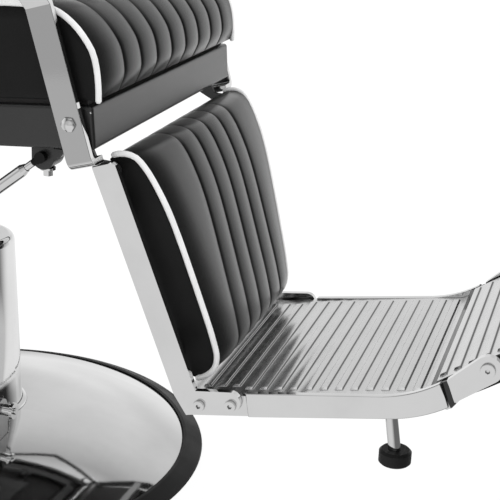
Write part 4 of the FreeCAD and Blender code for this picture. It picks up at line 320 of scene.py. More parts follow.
def rib_shade_group():
    """A painted dark reflection line along each rib's front flank, and the soft crown of each
    rib and hollow from -1 to 1. Places along and over the plate are in millimetres."""
    places = tuple((label, 0.0) for label in ("Along", "High", "First", "Middle", "Top"))
    group, entry, leave = group_sockets("Rib painted shade and crowns", places, ("Line", "Crown"))
    along, high, first, middle, top = (entry.outputs[label] for label, _ in places)
    past = math_node(group, "ADD", math_node(group, "SUBTRACT", along, first), RIB_PITCH / 2)
    share = math_node(group, "FRACT", math_node(group, "DIVIDE", past, RIB_PITCH))
    away = math_node(group, "ABSOLUTE", math_node(group, "SUBTRACT", share, 0.5))
    # Painted dark reflection: the line mask that darkens each rib's front flank.
    line = spread(group, away, 0.02, 0.055, 0.85, 0.0)
    over = spread(group, math_node(group, "SUBTRACT", high, top), 0.1, 0.5)
    join(group, math_node(group, "MULTIPLY", line, over), leave.inputs["Line"])
    turn = math_node(group, "SUBTRACT", along, middle)
    turn = math_node(group, "MULTIPLY", turn, math.tau / RIB_PITCH)
    join(group, math_node(group, "COSINE", turn), leave.inputs["Crown"])
    return group


GROUPS = {}


def shared(name):
    """A shader group, built the first time that it is asked for."""
    makers = {
        "grain": leather_grain_group, "handling": handling_group, "brushed": brushed_group,
        "crevice_shade": crevice_shade_group, "ribs": rib_shade_group,
    }
    if name not in GROUPS:
        GROUPS[name] = makers[name]()
    return GROUPS[name]


def place_group(tree, name, **values):
    node = tree.nodes.new("ShaderNodeGroup")
    node.node_tree = shared(name)
    for label, value in values.items():
        node.inputs[label.replace("_", " ")].default_value = value
    return node


def start_material(name, roughness, metallic=0.0):
    material = bpy.data.materials.new(name)
    material.use_nodes = True
    tree = material.node_tree
    surface = tree.nodes["Principled BSDF"]
    surface.inputs["Roughness"].default_value = roughness
    surface.inputs["Metallic"].default_value = metallic
    return material, tree, surface


def two_tone(tree, surface, mask, first, second):
    """Base colour that runs from one colour or socket to another with a mask."""
    mix = tree.nodes.new("ShaderNodeMix")
    mix.data_type = "RGBA"
    join(tree, mask, mix.inputs["Factor"])
    for label, value in (("A", first), ("B", second)):
        is_socket = isinstance(value, bpy.types.NodeSocket)
        put(tree, value if is_socket else (*value, 1.0), mix.inputs[label])
    join(tree, mix.outputs["Result"], surface.inputs["Base Color"])
    return mix.outputs["Result"]


def raised(tree, surface, height, distance, strength=1.0):
    bump = tree.nodes.new("ShaderNodeBump")
    bump.inputs["Distance"].default_value = distance
    bump.inputs["Strength"].default_value = strength
    join(tree, height, bump.inputs["Height"])
    join(tree, bump.outputs["Normal"], surface.inputs["Normal"])
    return bump


def shade(rgb, factor):
    return tuple(min(1.0, part * factor) for part in rgb)


MATERIALS = {}


def leather(name="Black leather", sewn=True, softer=0.0):
    """Smooth black leather with fine grain; a sewn one has thread in its channels."""
    look = bpy.context.scene.chair_upholstery
    material, tree, surface = start_material(name, look.leather_roughness)
    grain = place_group(tree, "grain", Cell=look.grain * MM)
    marks = place_group(tree, "handling", Scale=6.0, Scuffs=0.15)
    dark, pale = shade(look.leather, 0.85), shade(look.leather, 1.2)
    tone = two_tone(tree, surface, grain.outputs["Tone"], dark, pale)
    rough = math_node(tree, "MULTIPLY", marks.outputs["Smudge"], 0.07)
    rough = math_node(tree, "ADD", rough, math_node(tree, "MULTIPLY", grain.outputs["Crease"], 0.1))
    rough = math_node(tree, "ADD", rough, look.leather_roughness + softer)
    join(tree, rough, surface.inputs["Roughness"])
    height = grain.outputs["Height"]
    if sewn:
        stitch = thread_mask(tree)
        two_tone(tree, surface, stitch, tone, look.thread)
        height = math_node(tree, "ADD", height, math_node(tree, "MULTIPLY", stitch, 3.0))
        polish = spread(tree, attribute(tree, "edge_gap"), 4.0, 46.0, 0.02, 1.0)
        join(tree, polish, surface.inputs["Coat Weight"])
    else:
        surface.inputs["Coat Weight"].default_value = 0.9
    raised(tree, surface, height, 0.00012)
    surface.inputs["Specular IOR Level"].default_value = 0.08 if sewn else 0.35
    surface.inputs["Coat Roughness"].default_value = 0.28
    return material


def box_leather():
    """The stretched leather of the box under the seat, a little duller and without thread."""
    return leather("Box leather", sewn=False, softer=0.05)


def thread_mask(tree):
    """Marks the stitches that lie in the channels of a pad."""
    near = spread(tree, attribute(tree, "seam_gap"), 0.0, 0.9, 1.0, 0.0)
    run = math_node(tree, "MULTIPLY", attribute(tree, "seam_run"), 0.2)
    stitch = math_node(tree, "LESS_THAN", math_node(tree, "FRACT", run), 0.72)
    return math_node(tree, "MULTIPLY", near, stitch)


def piping_vinyl():
    look = bpy.context.scene.chair_upholstery
    material, tree, surface = start_material("White piping", 0.38)
    grain = place_group(tree, "grain", Cell=0.0009)
    marks = place_group(tree, "handling", Scale=30.0)
    two_tone(tree, surface, marks.outputs["Smudge"], look.piping, shade(look.piping, 0.9))
    raised(tree, surface, grain.outputs["Height"], 0.00008)
    return material


def tilted_place(tree, tilt):
    """The places along and over a tilted frame of the chair, in millimetres."""
    spot = object_place(tree)
    places = []
    for axis in (tilt.ahead, tilt.rise):
        part = vector_node(tree, "DOT_PRODUCT", spot, axis / MM, "Value")
        places.append(math_node(tree, "SUBTRACT", part, tilt.origin.dot(axis)))
    return places


def bar_side_shade(tree):
    """Painted shade: the broad sides of the arm bars are made darker than their edges, for the darker
    reflection that they see.
    """
    facing = tree.nodes.new("ShaderNodeNewGeometry").outputs["True Normal"]
    sideways = math_node(tree, "ABSOLUTE", parts_of(tree, facing)["Y"])
    return spread(tree, sideways, 0.8, 0.95)


def chrome(name="Polished chrome", painted_shade=None, dark=0.06):
    """Bright chrome. The optional mask gives where painted shade makes it darker, and corners between
    parts get painted shade too.
    """
    look = bpy.context.scene.chair_finishes
    material, tree, surface = start_material(name, look.chrome_roughness, 1.0)
    marks = place_group(tree, "handling", Scale=11.0, Scuffs=0.5)
    tone = two_tone(tree, surface, marks.outputs["Smudge"], look.chrome, shade(look.chrome, 0.94))
    # Painted shade: where the mask says, the colour runs down to the given dark grey.
    if painted_shade is not None:
        tone = two_tone(tree, surface, painted_shade(tree), tone, (dark, dark, dark))
    # Painted shade: the crevice mask darkens the chrome's colour to near black in corners between
    # parts.
    two_tone(tree, surface, place_group(tree, "crevice_shade").outputs["Mask"], tone, (0.03, 0.03, 0.03))
    rough = math_node(tree, "MULTIPLY", marks.outputs["Smudge"], 0.035)
    rough = math_node(tree, "ADD", rough, math_node(tree, "MULTIPLY", marks.outputs["Scuff"], 0.08))
    join(tree, math_node(tree, "ADD", rough, look.chrome_roughness), surface.inputs["Roughness"])
    raised(tree, surface, marks.outputs["Grit"], 0.00001)
    return material


def neck_recess_shade(tree):
    """Painted shade: a near-black band over the recessed neck of each footrest rail."""
    along, high = tilted_place(tree, FOOT)
    place = math_node(tree, "MULTIPLY", along, 0.955)
    place = math_node(tree, "ADD", place, math_node(tree, "MULTIPLY", high, 0.297))
    start = spread(tree, place, 284.6, 285.2)
    return math_node(tree, "MULTIPLY", start, spread(tree, place, 292.7, 293.3, 1.0, 0.0))


def lever_root_shade(tree):
    """Painted shade: near black on the collar where the recline lever leaves its housing."""
    middle = (0.221, -0.2216, 0.4986)
    away = vector_node(tree, "DISTANCE", object_place(tree), middle, "Value")
    return spread(tree, away, 0.0125, 0.0135, 1.0, 0.0)


def bar_chrome():
    return chrome("Bar chrome", bar_side_shade, 0.5)


def rail_chrome():
    return chrome("Rail chrome", neck_recess_shade)


def lever_chrome():
    return chrome("Lever chrome", lever_root_shade, 0.02)


def brushed_metal(name, base, roughness, across, ribs=None):
    """Metal polished along one direction. Across gives the line count per metre on each
    axis, and ribs makes the painted dark reflection lines and the crowns of a ribbed plate."""
    material, tree, surface = start_material(name, roughness, 1.0)
    lines = place_group(tree, "brushed", Across_X=across[0], Across_Y=across[1], Across_Z=across[2])
    marks = place_group(tree, "handling", Scale=16.0, Scuffs=0.4)
    tone = two_tone(tree, surface, lines.outputs["Drift"], shade(base, 0.96), shade(base, 1.04))
    height = lines.outputs["Lines"]
    if ribs is not None:
        line, crown = ribs(tree)
        # Painted dark reflection along the ribs, near black in the base colour.
        two_tone(tree, surface, line, tone, (0.02, 0.02, 0.02))
        height = math_node(tree, "ADD", height, math_node(tree, "MULTIPLY", crown, 12.0))
    rough = math_node(tree, "MULTIPLY", lines.outputs["Lines"], 0.1)
    rough = math_node(tree, "ADD", rough, math_node(tree, "MULTIPLY", marks.outputs["Smudge"], 0.06))
    join(tree, math_node(tree, "ADD", rough, roughness - 0.06), surface.inputs["Roughness"])
    raised(tree, surface, height, 0.00002)
    return material


def ribbed_aluminium(name, tilt, first, middle, top, edge=None):
    """A ribbed plate's metal with painted dark reflection lines: the places of a rib's front flank and
    of a crown along its tilted frame, the height of its face, and where its edge turned down starts, if
    any, which gets painted shade."""
    look = bpy.context.scene.chair_finishes

    def ribs(tree):
        along, high = tilted_place(tree, tilt)
        rows = place_group(tree, "ribs", First=first, Middle=middle, Top=top)
        join(tree, along, rows.inputs["Along"])
        join(tree, high, rows.inputs["High"])
        line = rows.outputs["Line"]
        if edge is not None:
            # Painted shade over the front face of the turned-down edge.
            line = math_node(tree, "MAXIMUM", line, spread(tree, along, edge, edge + 0.5))
        return line, rows.outputs["Crown"]

    across = (1400.0, 10.0, 1400.0)
    return brushed_metal(name, look.aluminium, look.aluminium_roughness, across, ribs)


def footrest_aluminium():
    # Painted shade from 278.2 mm along, on the plate's turned-down front edge.
    return ribbed_aluminium("Footrest aluminium", FOOT, 13.5, 9.0, 0.0, edge=278.2)


def flap_aluminium():
    return ribbed_aluminium("Flap aluminium", FLAP, -50.5, -55.0, 8.0)


def bare_steel():
    look = bpy.context.scene.chair_finishes
    return brushed_metal("Bare steel", look.steel, 0.34, (300.0, 300.0, 1200.0))


def handled(name, roughness, base, pale, scale, scuffs, grit, metallic=0.0, mask="Smudge", gloss=None):
    """A plain material with handling marks. Pale is the shade that its mask brings, and
    gloss holds how much the smudges roughen it and the roughness between them."""
    material, tree, surface = start_material(name, roughness, metallic)
    marks = place_group(tree, "handling", Scale=scale, Scuffs=scuffs)
    two_tone(tree, surface, marks.outputs[mask], base, shade(base, pale))
    if gloss is not None:
        rough = math_node(tree, "MULTIPLY", marks.outputs["Smudge"], gloss[0])
        join(tree, math_node(tree, "ADD", rough, gloss[1]), surface.inputs["Roughness"])
    raised(tree, surface, marks.outputs["Grit"], grit)
    return material, surface


def enamel():
    base = bpy.context.scene.chair_finishes.enamel
    material, surface = handled(
        "Black enamel", 0.34, base, 3.0, 18.0, 0.8, 0.00006, mask="Scuff", gloss=(0.14, 0.3)
    )
    surface.inputs["Coat Weight"].default_value = 0.25
    return material


def rubber():
    base = bpy.context.scene.chair_finishes.rubber
    material, surface = handled("Black rubber", 0.5, base, 1.5, 22.0, 0.6, 0.00012, gloss=(0.16, 0.42))
    surface.inputs["Specular IOR Level"].default_value = 0.25
    return material


def cast_iron():
    base = bpy.context.scene.chair_finishes.iron
    return handled("Cast iron", 0.6, base, 0.6, 40.0, 0.6, 0.0008, metallic=0.3)[0]


def board():
    look = bpy.context.scene.chair_finishes
    material, tree, surface = start_material("Painted board", 0.6)
    lines = place_group(tree, "brushed", Across_X=60.0, Across_Y=700.0, Across_Z=60.0)
    two_tone(tree, surface, lines.outputs["Lines"], look.wood, shade(look.wood, 1.5))
    raised(tree, surface, lines.outputs["Lines"], 0.0003)
    return material


def finish(name):
    """A material, made the first time that it is asked for."""
    makers = {
        "leather": leather, "box leather": box_leather, "piping": piping_vinyl, "chrome": chrome,
        "bar chrome": bar_chrome, "rail chrome": rail_chrome, "lever chrome": lever_chrome,
        "footrest aluminium": footrest_aluminium, "flap aluminium": flap_aluminium,
        "steel": bare_steel, "enamel": enamel, "rubber": rubber, "iron": cast_iron, "board": board,
    }
    if name not in MATERIALS:
        MATERIALS[name] = makers[name]()
    return MATERIALS[name]


FINISH_OF_SLOT = {
    "rim_rubber": "rubber",
    "polished_chrome": "chrome",
    "cast_base": "iron",
    "bare_steel": "steel",
    "black_enamel": "enamel",
    "footrest_metal": "footrest aluminium",
    "black_leather": "leather",
    "board_wood": "board",
}
FINISH_OF_NODE = {
    "seat_skirt": "box leather",
    "front_arm_bars": "bar chrome",
    "rear_arm_bars": "bar chrome",
    "flap_plate": "flap aluminium",
    "footrest_rails": "rail chrome",
    "recline_lever": "lever chrome",
}


# Lines, tubes and sewn pads.

def smooth_line(points, spacing):
    """Even points on a smooth line through the given ones."""
    ends = [tuple(2 * a - b for a, b in zip(points[0], points[1]))]
    ends.append(tuple(2 * a - b for a, b in zip(points[-1], points[-2])))
    row = [ends[0], *points, ends[1]]
    dense = []
    for p0, p1, p2, p3 in zip(row, row[1:], row[2:], row[3:]):
        knots = [0.0]
        for a, b in ((p0, p1), (p1, p2), (p2, p3)):
            knots.append(knots[-1] + max(math.dist(a, b), 1e-6) ** 0.5)
        t0, t1, t2, t3 = knots
        for step in range(24):
            t = t1 + (t2 - t1) * step / 24

            def blend(a, b, low, high):
                share = (t - low) / (high - low)
                return tuple(u + (v - u) * share for u, v in zip(a, b))

            a1, a2, a3 = blend(p0, p1, t0, t1), blend(p1, p2, t1, t2), blend(p2, p3, t2, t3)
            dense.append(blend(blend(a1, a2, t0, t2), blend(a2, a3, t1, t3), t1, t2))
    dense.append(points[-1])
    runs = [0.0]
    for a, b in zip(dense, dense[1:]):
        runs.append(runs[-1] + math.dist(a, b))
    count = max(2, round(runs[-1] / spacing))
    line, at = [], 0
    for number in range(count + 1):
        goal = runs[-1] * number / count
        while at < len(runs) - 2 and runs[at + 1] < goal:
            at += 1
        share = (goal - runs[at]) / max(runs[at + 1] - runs[at], 1e-9)
        line.append(tuple(u + (v - u) * share for u, v in zip(dense[at], dense[at + 1])))
    return line


def outward_normals(line):
    """Unit normals of a flat line, turned away from its middle."""
    middle = [sum(p[k] for p in line) / len(line) for k in (0, 1)]
    normals = []
    for index in range(len(line)):
        a, b = line[max(index - 1, 0)], line[min(index + 1, len(line) - 1)]
        u, v = b[0] - a[0], b[1] - a[1]
        size = math.hypot(u, v)
        normals.append((v / size, -u / size))
    facing = sum(
        (p[0] - middle[0]) * n[0] + (p[1] - middle[1]) * n[1] for p, n in zip(line, normals)
    )
    if facing < 0:
        normals = [(-a, -b) for a, b in normals]
    return normals


def new_piece(name, vertices, faces, material, smooth=True):
    mesh = bpy.data.meshes.new(name)
    mesh.from_pydata([tuple(v) for v in vertices], [], faces)
    shape = bmesh.new()
    shape.from_mesh(mesh)
    bmesh.ops.recalc_face_normals(shape, faces=shape.faces)
    shape.to_mesh(mesh)
    shape.free()
    for face in mesh.polygons:
        face.use_smooth = smooth
    mesh.materials.append(material)
    piece = bpy.data.objects.new(name, mesh)
    bpy.context.scene.collection.objects.link(piece)
    return piece


def tube(name, path, radius, material, sides=10, wobble=0.0):
    """A round cord along points in metres, with rounded ends."""
    path = [Vector(p) for p in path]
    vertices, faces = [], []
    side = None
    rings = []
    for index, spot in enumerate(path):
        ahead = (path[min(index + 1, len(path) - 1)] - path[max(index - 1, 0)]).normalized()
        if side is None:
            side = ahead.orthogonal().normalized()
        side = (side - ahead * side.dot(ahead)).normalized()
        up = ahead.cross(side)
        rings.append((spot, ahead, side.copy(), up))
    first, last = rings[0], rings[-1]
    rings.insert(0, (first[0] - first[1] * radius * 0.7, first[1], first[2], first[3]))
    rings.append((last[0] + last[1] * radius * 0.7, last[1], last[2], last[3]))
    for index, (spot, _, side, up) in enumerate(rings):
        size = radius * (0.55 if index in (0, len(rings) - 1) else 1.0)
        size *= 1 + wobble * noise.noise(spot * 60)
        for number in range(sides):
            turn = 2 * math.pi * number / sides
            vertices.append(spot + side * size * math.cos(turn) + up * size * math.sin(turn))
    for index in range(len(rings) - 1):
        for number in range(sides):
            following = (number + 1) % sides
            low, high = index * sides, (index + 1) * sides
            faces.append((low + number, low + following, high + following, high + number))
    faces.append(tuple(reversed(range(sides))))
    faces.append(tuple(range(len(vertices) - sides, len(vertices))))
    return new_piece(name, vertices, faces, material)


# How the places across one strip of leather are spread between two seams.
SPREAD = (0.0, 0.03, 0.08, 0.18, 0.32, 0.5, 0.68, 0.82, 0.92, 0.97)
SIDE_STEPS = 6


def sewn_pad(form):
    """A closed sewn pad. Its outline is the side view, from the lower back edge round the
    front to the upper back edge, as places along the pad and heights over its flat back."""
    line = smooth_line(form.outline, form.spacing)
    normals = outward_normals(line)
    rows = len(line)
    runs = [0.0]
    for a, b in zip(line, line[1:]):
        runs.append(runs[-1] + math.dist(a, b))
    channels = list(form.channels)
    vertices, gaps, edges, marks, held = [], [], [], [], []

    def add(along, y, high, gap, edge, run, hold):
        vertices.append(form.place(along, y, high))
        gaps.append(gap)
        edges.append(edge)
        marks.append(run)
        held.append(hold)
        return len(vertices) - 1

    def stations(half):
        seams = [-half] + channels + [half]
        places = []
        for left, right in zip(seams, seams[1:]):
            places += [left + (right - left) * share for share in SPREAD]
        return places + [half]

    belt = []
    for index, (along, high) in enumerate(line):
        half = form.half(along)
        end = min(runs[index], runs[-1] - runs[index]) / form.fade
        fade = 1.0 if end >= 1 else end * end * (3 - 2 * end)
        row = []
        for y in stations(half):
            edge = max(half - abs(y), 0.0)
            gap = min((abs(y - c) for c in channels), default=99.0)
            rise = form.shoulder * (1 - math.exp(-((edge / form.shoulder_width) ** 1.3)))
            rise += form.crown * (1 - (y / half) ** 2)
            arch = min(1.0, gap / form.arch)
            puff = form.puff * arch * (2 - arch) * min(1.0, 3 * fade)
            groove = form.groove_depth * math.exp(-((gap / form.groove_width) ** 2))
            step = rise * fade + puff - groove
            hold = 1.0 if edge < 0.01 or gap < 0.01 or fade < 0.35 else 0.0
            spot = (
                along + normals[index][0] * step * form.bulge[0],
                high + normals[index][1] * step * form.bulge[1],
            )
            row.append(add(spot[0], y, spot[1], gap, edge, runs[index], hold))
        belt.append(row)

    weights = [0.0]
    for a, b in zip(line, line[1:]):
        weights.append(weights[-1] + 0.8 * abs(b[0] - a[0]) + 0.2 * math.dist(a, b))
    first, last = line[0][0], line[-1][0]
    backs = [first + (last - first) * w / weights[-1] for w in weights]
    flat = [belt[0]]
    for index in range(1, rows - 1):
        half = form.half(backs[index])
        flat.append([add(backs[index], y, 0.0, 99.0, 15.0, 0.0, 1.0) for y in stations(half)])
    flat.append(belt[-1])

    faces = []

    def quad(*corners):
        kept = list(dict.fromkeys(corners))
        if len(kept) > 2:
            faces.append(tuple(kept))

    for grid in (belt, flat):
        for row, following in zip(grid, grid[1:]):
            for j in range(len(row) - 1):
                quad(row[j], row[j + 1], following[j + 1], following[j])
    for sign, column in ((-1, 0), (1, -1)):
        cap = []
        for index in range(rows):
            top, foot = belt[index][column], flat[index][column]
            if top == foot:
                cap.append([top] * (SIDE_STEPS + 1))
                continue
            row = [top]
            for step in range(1, SIDE_STEPS):
                share = step / SIDE_STEPS
                along = line[index][0] + (backs[index] - line[index][0]) * share
                high = line[index][1] * (1 - share)
                drawn = form.side_draw * math.sin(math.pi * share)
                y = sign * (form.half(along) - drawn)
                row.append(add(along, y, high, 99.0, 15.0, 0.0, 0.6))
            cap.append(row + [foot])
        for row, following in zip(cap, cap[1:]):
            for j in range(SIDE_STEPS):
                quad(row[j], row[j + 1], following[j + 1], following[j])

    piece = new_piece(form.name, vertices, faces, finish("leather"))
    mesh = piece.data
    for label, values in (("seam_gap", gaps), ("edge_gap", edges), ("seam_run", marks)):
        store = mesh.attributes.new(label, "FLOAT", "POINT")
        store.data.foreach_set("value", values)
    if form.pressure > 0:
        swell(piece, held, form.pressure, form.limit * MM)
    edge_line = {row[0] for row in belt} | {row[-1] for row in belt}
    creases = mesh.attributes.new("crease_edge", "FLOAT", "EDGE")
    amounts = []
    for edge in mesh.edges:
        a, b = edge.vertices
        if a in edge_line and b in edge_line:
            amounts.append(0.7)
        elif gaps[a] < 0.01 and gaps[b] < 0.01:
            amounts.append(0.45)
        else:
            amounts.append(0.0)
    creases.data.foreach_set("value", amounts)
    finer = piece.modifiers.new("Rounded", "SUBSURF")
    finer.levels = finer.render_levels = 1
    return piece, line, normals


def swell(piece, held, pressure, limit):
    """Blows the pad up as cloth against its seams and keeps the result."""
    mesh = piece.data
    rest = [v.co.copy() for v in mesh.vertices]
    sewn = piece.vertex_groups.new(name="sewn")
    for weight in sorted(set(held)):
        sewn.add([i for i, value in enumerate(held) if value == weight], weight, "REPLACE")
    cloth = piece.modifiers.new("Swell", "CLOTH")
    settings = cloth.settings
    settings.quality = 5
    settings.mass = 0.4
    settings.tension_stiffness = 40.0
    settings.compression_stiffness = 40.0
    settings.shear_stiffness = 15.0
    settings.bending_stiffness = 4.0
    settings.use_pressure = True
    settings.uniform_pressure_force = pressure
    settings.vertex_group_mass = "sewn"
    settings.effector_weights.gravity = 0.0
    cloth.point_cache.frame_start = 1
    cloth.point_cache.frame_end = 20
    scene = bpy.context.scene
    for number in range(1, 21):
        scene.frame_set(number)
    shown = piece.evaluated_get(bpy.context.evaluated_depsgraph_get()).data
    moved = [v.co.copy() for v in shown.vertices]
    piece.modifiers.remove(cloth)
    piece.vertex_groups.remove(sewn)
    for vertex, start, goal in zip(mesh.vertices, rest, moved):
        step = goal - start
        if step.length > limit:
            step *= limit / step.length
        vertex.co = start + step
    scene.frame_set(1)
    mesh.update()


def pipe_edges(form, line, normals, body, ends):
    """Piping along both side edges of a pad, without the given points at each end."""
    look = bpy.context.scene.chair_upholstery
    for sign, side in SIDES:
        path = []
        for (along, high), (u, v) in list(zip(line, normals))[ends:len(line) - ends]:
            y = sign * (form.half(along) - 0.4)
            path.append(form.place(along + u * 1.6, y, high + v * 1.6))
        cord = tube(
            f"{form.name}_piping_{side}", path, look.piping_radius * MM, finish("piping"), wobble=0.04
        )
        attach(cord, body)


def make_pad(form, body, node, piping_ends=None):
    """Sews a pad, which stands for its plain solid and rides on a body. Piping_ends is how
    many points its piping leaves out at each end, and a pad without it has no piping."""
    piece, line, normals = sewn_pad(form)
    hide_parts(node)
    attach(piece, body)
    if piping_ends is not None:
        pipe_edges(form, line, normals, body, piping_ends)


def pad_form(name, place, outline, half, channels=(), **changes):
    look = bpy.context.scene.chair_upholstery
    form = SimpleNamespace(
        name=name, place=place, outline=outline, half=half, channels=channels,
        crown=look.crown, shoulder=look.shoulder, shoulder_width=18.0, puff=look.puff, arch=23.0,
        groove_depth=look.groove_depth, groove_width=look.groove_width, side_draw=2.0,
        bulge=(1.0, 1.0),
        fade=22.0, spacing=9.0, pressure=look.pressure, limit=look.swell_limit,
    )
    for label, value in changes.items():
        setattr(form, label, value)
    return form


def rows_of(pitch, count):
    return [pitch * (number - (count - 1) / 2) for number in range(count)]


def share_of(value, low, high):
    return min(1.0, max(0.0, (value - low) / (high - low)))


class CHAIR_OT_finishes(bpy.types.Operator):
    """Gives every part of the chair's metalwork, rubber and boards its finish"""

    bl_idname = "chair.finishes"
    bl_label = "Metal, rubber and board finishes"

    def execute(self, context):
        slots = {row["node"]: row["material_slot"] for row in frame["record"]["subparts"]}
        for name, node in frame["nodes"].items():
            material = finish(FINISH_OF_NODE.get(name, FINISH_OF_SLOT[slots[name]]))
            node.data.materials.clear()
            node.data.materials.append(material)
        return {"FINISHED"}


class CHAIR_OT_seat_cushion(bpy.types.Operator):
    """Builds the seat cushion with eight sewn channels, its piping and its side studs"""

    bl_idname = "chair.seat_cushion"
    bl_label = "Seat cushion"

    def execute(self, context):
        base = 54.3
        outline = [
            (5.5, 0.0), (6.3, 12.0), (6.0, 30.0), (4.6, 42.0), (2.2, 52.0), (-3.0, 62.0),
            (-10.0, 72.5), (-18.5, 82.0), (-29.0, 90.5), (-41.0, 96.5), (-70.0, 101.0),
            (-130.0, 102.5), (-260.0, 102.5), (-400.0, 102.0), (-440.0, 99.0), (-454.0, 92.0),
            (-462.0, 80.0), (-464.5, 62.0), (-464.5, 30.0), (-464.0, 0.0),
        ]
        form = pad_form(
            "seat_cushion_cover", lambda a, y, t: SEAT.at(a, y, base + t), outline,
            lambda a: 234.0 - 3.0 * share_of(-a, 450.0, 464.0), rows_of(49.0, 8),
            bulge=(1.2, 0.5),
        )
        make_pad(form, "seat", "seat_cushion", piping_ends=0)
        for sign, side in SIDES:
            rings = []
            for x, z in ((-14.0, 41.5), (-3.0, 41.5)):
                rings.append(SEAT.at(x, sign * 233.2, z))
            stud_row(f"seat_studs_{side}", rings, Vector((0, sign, 0)), 1.9 * MM, "seat")
        return {"FINISHED"}


def stud_row(name, spots, out, radius, body):
    """Small domed nails in one piece."""
    vertices, faces = [], []
    side = out.orthogonal().normalized()
    up = out.cross(side)
    for spot in spots:
        first = len(vertices)
        for high, wide in ((0.0, 1.0), (0.35, 0.97), (0.75, 0.7), (0.95, 0.35)):
            for number in range(12):
                turn = math.pi * number / 6
                around = side * math.cos(turn) + up * math.sin(turn)
                vertices.append(spot + out * high * radius + around * wide * radius)
        vertices.append(spot + out * radius)
        for ring in range(3):
            for number in range(12):
                a = first + ring * 12 + number
                b = first + ring * 12 + (number + 1) % 12
                faces.append((a, b, b + 12, a + 12))
        for number in range(12):
            faces.append((first + 36 + number, first + 36 + (number + 1) % 12, first + 48))
        faces.append(tuple(first + number for number in range(12)))
    piece = new_piece(name, vertices, faces, finish("chrome"))
    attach(piece, body)


class CHAIR_OT_leg_cushion(bpy.types.Operator):
    """Builds the tapered cushion of the leg rest with five sewn channels and piping"""

    bl_idname = "chair.leg_cushion"
    bl_label = "Leg rest cushion"

    def execute(self, context):
        outline = [
            (-282.0, 0.0), (-283.2, 6.0), (-282.1, 15.8), (-274.9, 29.2), (-261.6, 37.5),
            (-238.0, 40.9), (-185.0, 43.2), (-82.3, 44.6), (-45.0, 41.4), (-17.0, 35.7),
            (-2.8, 28.9), (3.8, 16.7), (4.2, 6.0), (3.0, 0.0),
        ]
        form = pad_form(
            "leg_cushion_cover", lambda a, y, t: LEG.at(0.5 + t, y, a), outline,
            lambda a: 200.0 - 50.0 * (9.0 - a) / 289.0, rows_of(46.0, 5),
            fade=16.0, spacing=6.5, bulge=(0.15, 1.0), shoulder=10.0, shoulder_width=20.0,
        )
        make_pad(form, "leg_rest", "leg_rest_cushion", piping_ends=1)
        return {"FINISHED"}


class CHAIR_OT_back_cushion(bpy.types.Operator):
    """Builds the backrest cushion with eight sewn channels and piping"""

    bl_idname = "chair.back_cushion"
    bl_label = "Backrest cushion"

    def execute(self, context):
        outline = [
            (106.5, 0.0), (106.0, 14.0), (107.5, 30.0), (112.5, 42.0), (122.0, 51.0),
            (145.0, 57.0), (200.0, 61.0), (262.0, 61.0), (340.0, 58.0), (420.0, 53.5),
            (500.0, 49.5), (560.0, 46.5), (584.0, 42.0), (597.0, 33.0), (603.5, 20.0), (605.5, 8.0),
            (605.5, 0.0),
        ]

        def half(a):
            top = share_of(a, 560.0, 606.0)
            low = share_of(112.0 - a, 0.0, 6.0)
            return 204.5 - 26.0 * (1 - math.sqrt(max(0.0, 1 - top * top))) - 3.0 * low

        form = pad_form(
            "back_cushion_cover", lambda a, y, t: BACK.at(8.0 + t, y, a), outline, half,
            rows_of(46.0, 8), crown=4.0, bulge=(0.2, 1.0),
        )
        make_pad(form, "backrest", "backrest_cushion", piping_ends=1)
        return {"FINISHED"}


class CHAIR_OT_head_cushion(bpy.types.Operator):
    """Builds the headrest cushion with four sewn channels and piping"""

    bl_idname = "chair.head_cushion"
    bl_label = "Headrest cushion"

    def execute(self, context):
        outline = [
            (623.5, 0.0), (623.5, 14.0), (625.5, 27.0), (631.0, 38.0), (641.0, 46.0),
            (658.0, 51.5), (682.0, 53.5), (706.0, 51.5), (723.0, 46.0), (733.0, 38.0),
            (738.5, 27.0), (740.5, 14.0), (740.5, 0.0),
        ]
        form = pad_form(
            "head_cushion_cover", lambda a, y, t: BACK.at(20.4 + t, y, a), outline,
            lambda a: 134.0 - 5.0 * share_of(abs(a - 682.0), 50.0, 59.0) ** 2, rows_of(46.0, 4),
            spacing=6.5, fade=16.0, bulge=(0.2, 0.8), limit=1.5,
        )
        make_pad(form, "headrest", "headrest_cushion", piping_ends=1)
        return {"FINISHED"}


class CHAIR_OT_arm_pads(bpy.types.Operator):
    """Builds the two padded armrests with a seam round each"""

    bl_idname = "chair.arm_pads"
    bl_label = "Armrest pads"

    def execute(self, context):
        outline = [
            (174.5, 0.0), (175.5, 9.0), (174.5, 19.0), (170.0, 27.5), (160.0, 32.5), (140.0, 34.5),
            (60.0, 36.0), (-60.0, 36.0), (-140.0, 34.5), (-160.0, 32.0), (-170.0, 26.5),
            (-174.5, 18.0), (-175.5, 9.0), (-174.5, 0.0),
        ]
        for sign, side in SIDES:
            middle = sign * 253.0

            def half(a):
                end = share_of(abs(a), 148.0, 176.0)
                return 38.0 - 14.0 * (1 - math.sqrt(max(0.0, 1 - end * end)))

            form = pad_form(
                f"arm_pad_{side}", lambda a, y, t, m=middle: LEVEL.at(14.0 + a, m + y, 866.4 + t),
                outline, half, crown=3.5, shoulder=6.5, shoulder_width=7.5, puff=0.0,
                side_draw=1.0, fade=14.0, spacing=6.0, limit=1.5,
            )
            make_pad(form, "seat", f"armrest_pad_{side}")
        return {"FINISHED"}


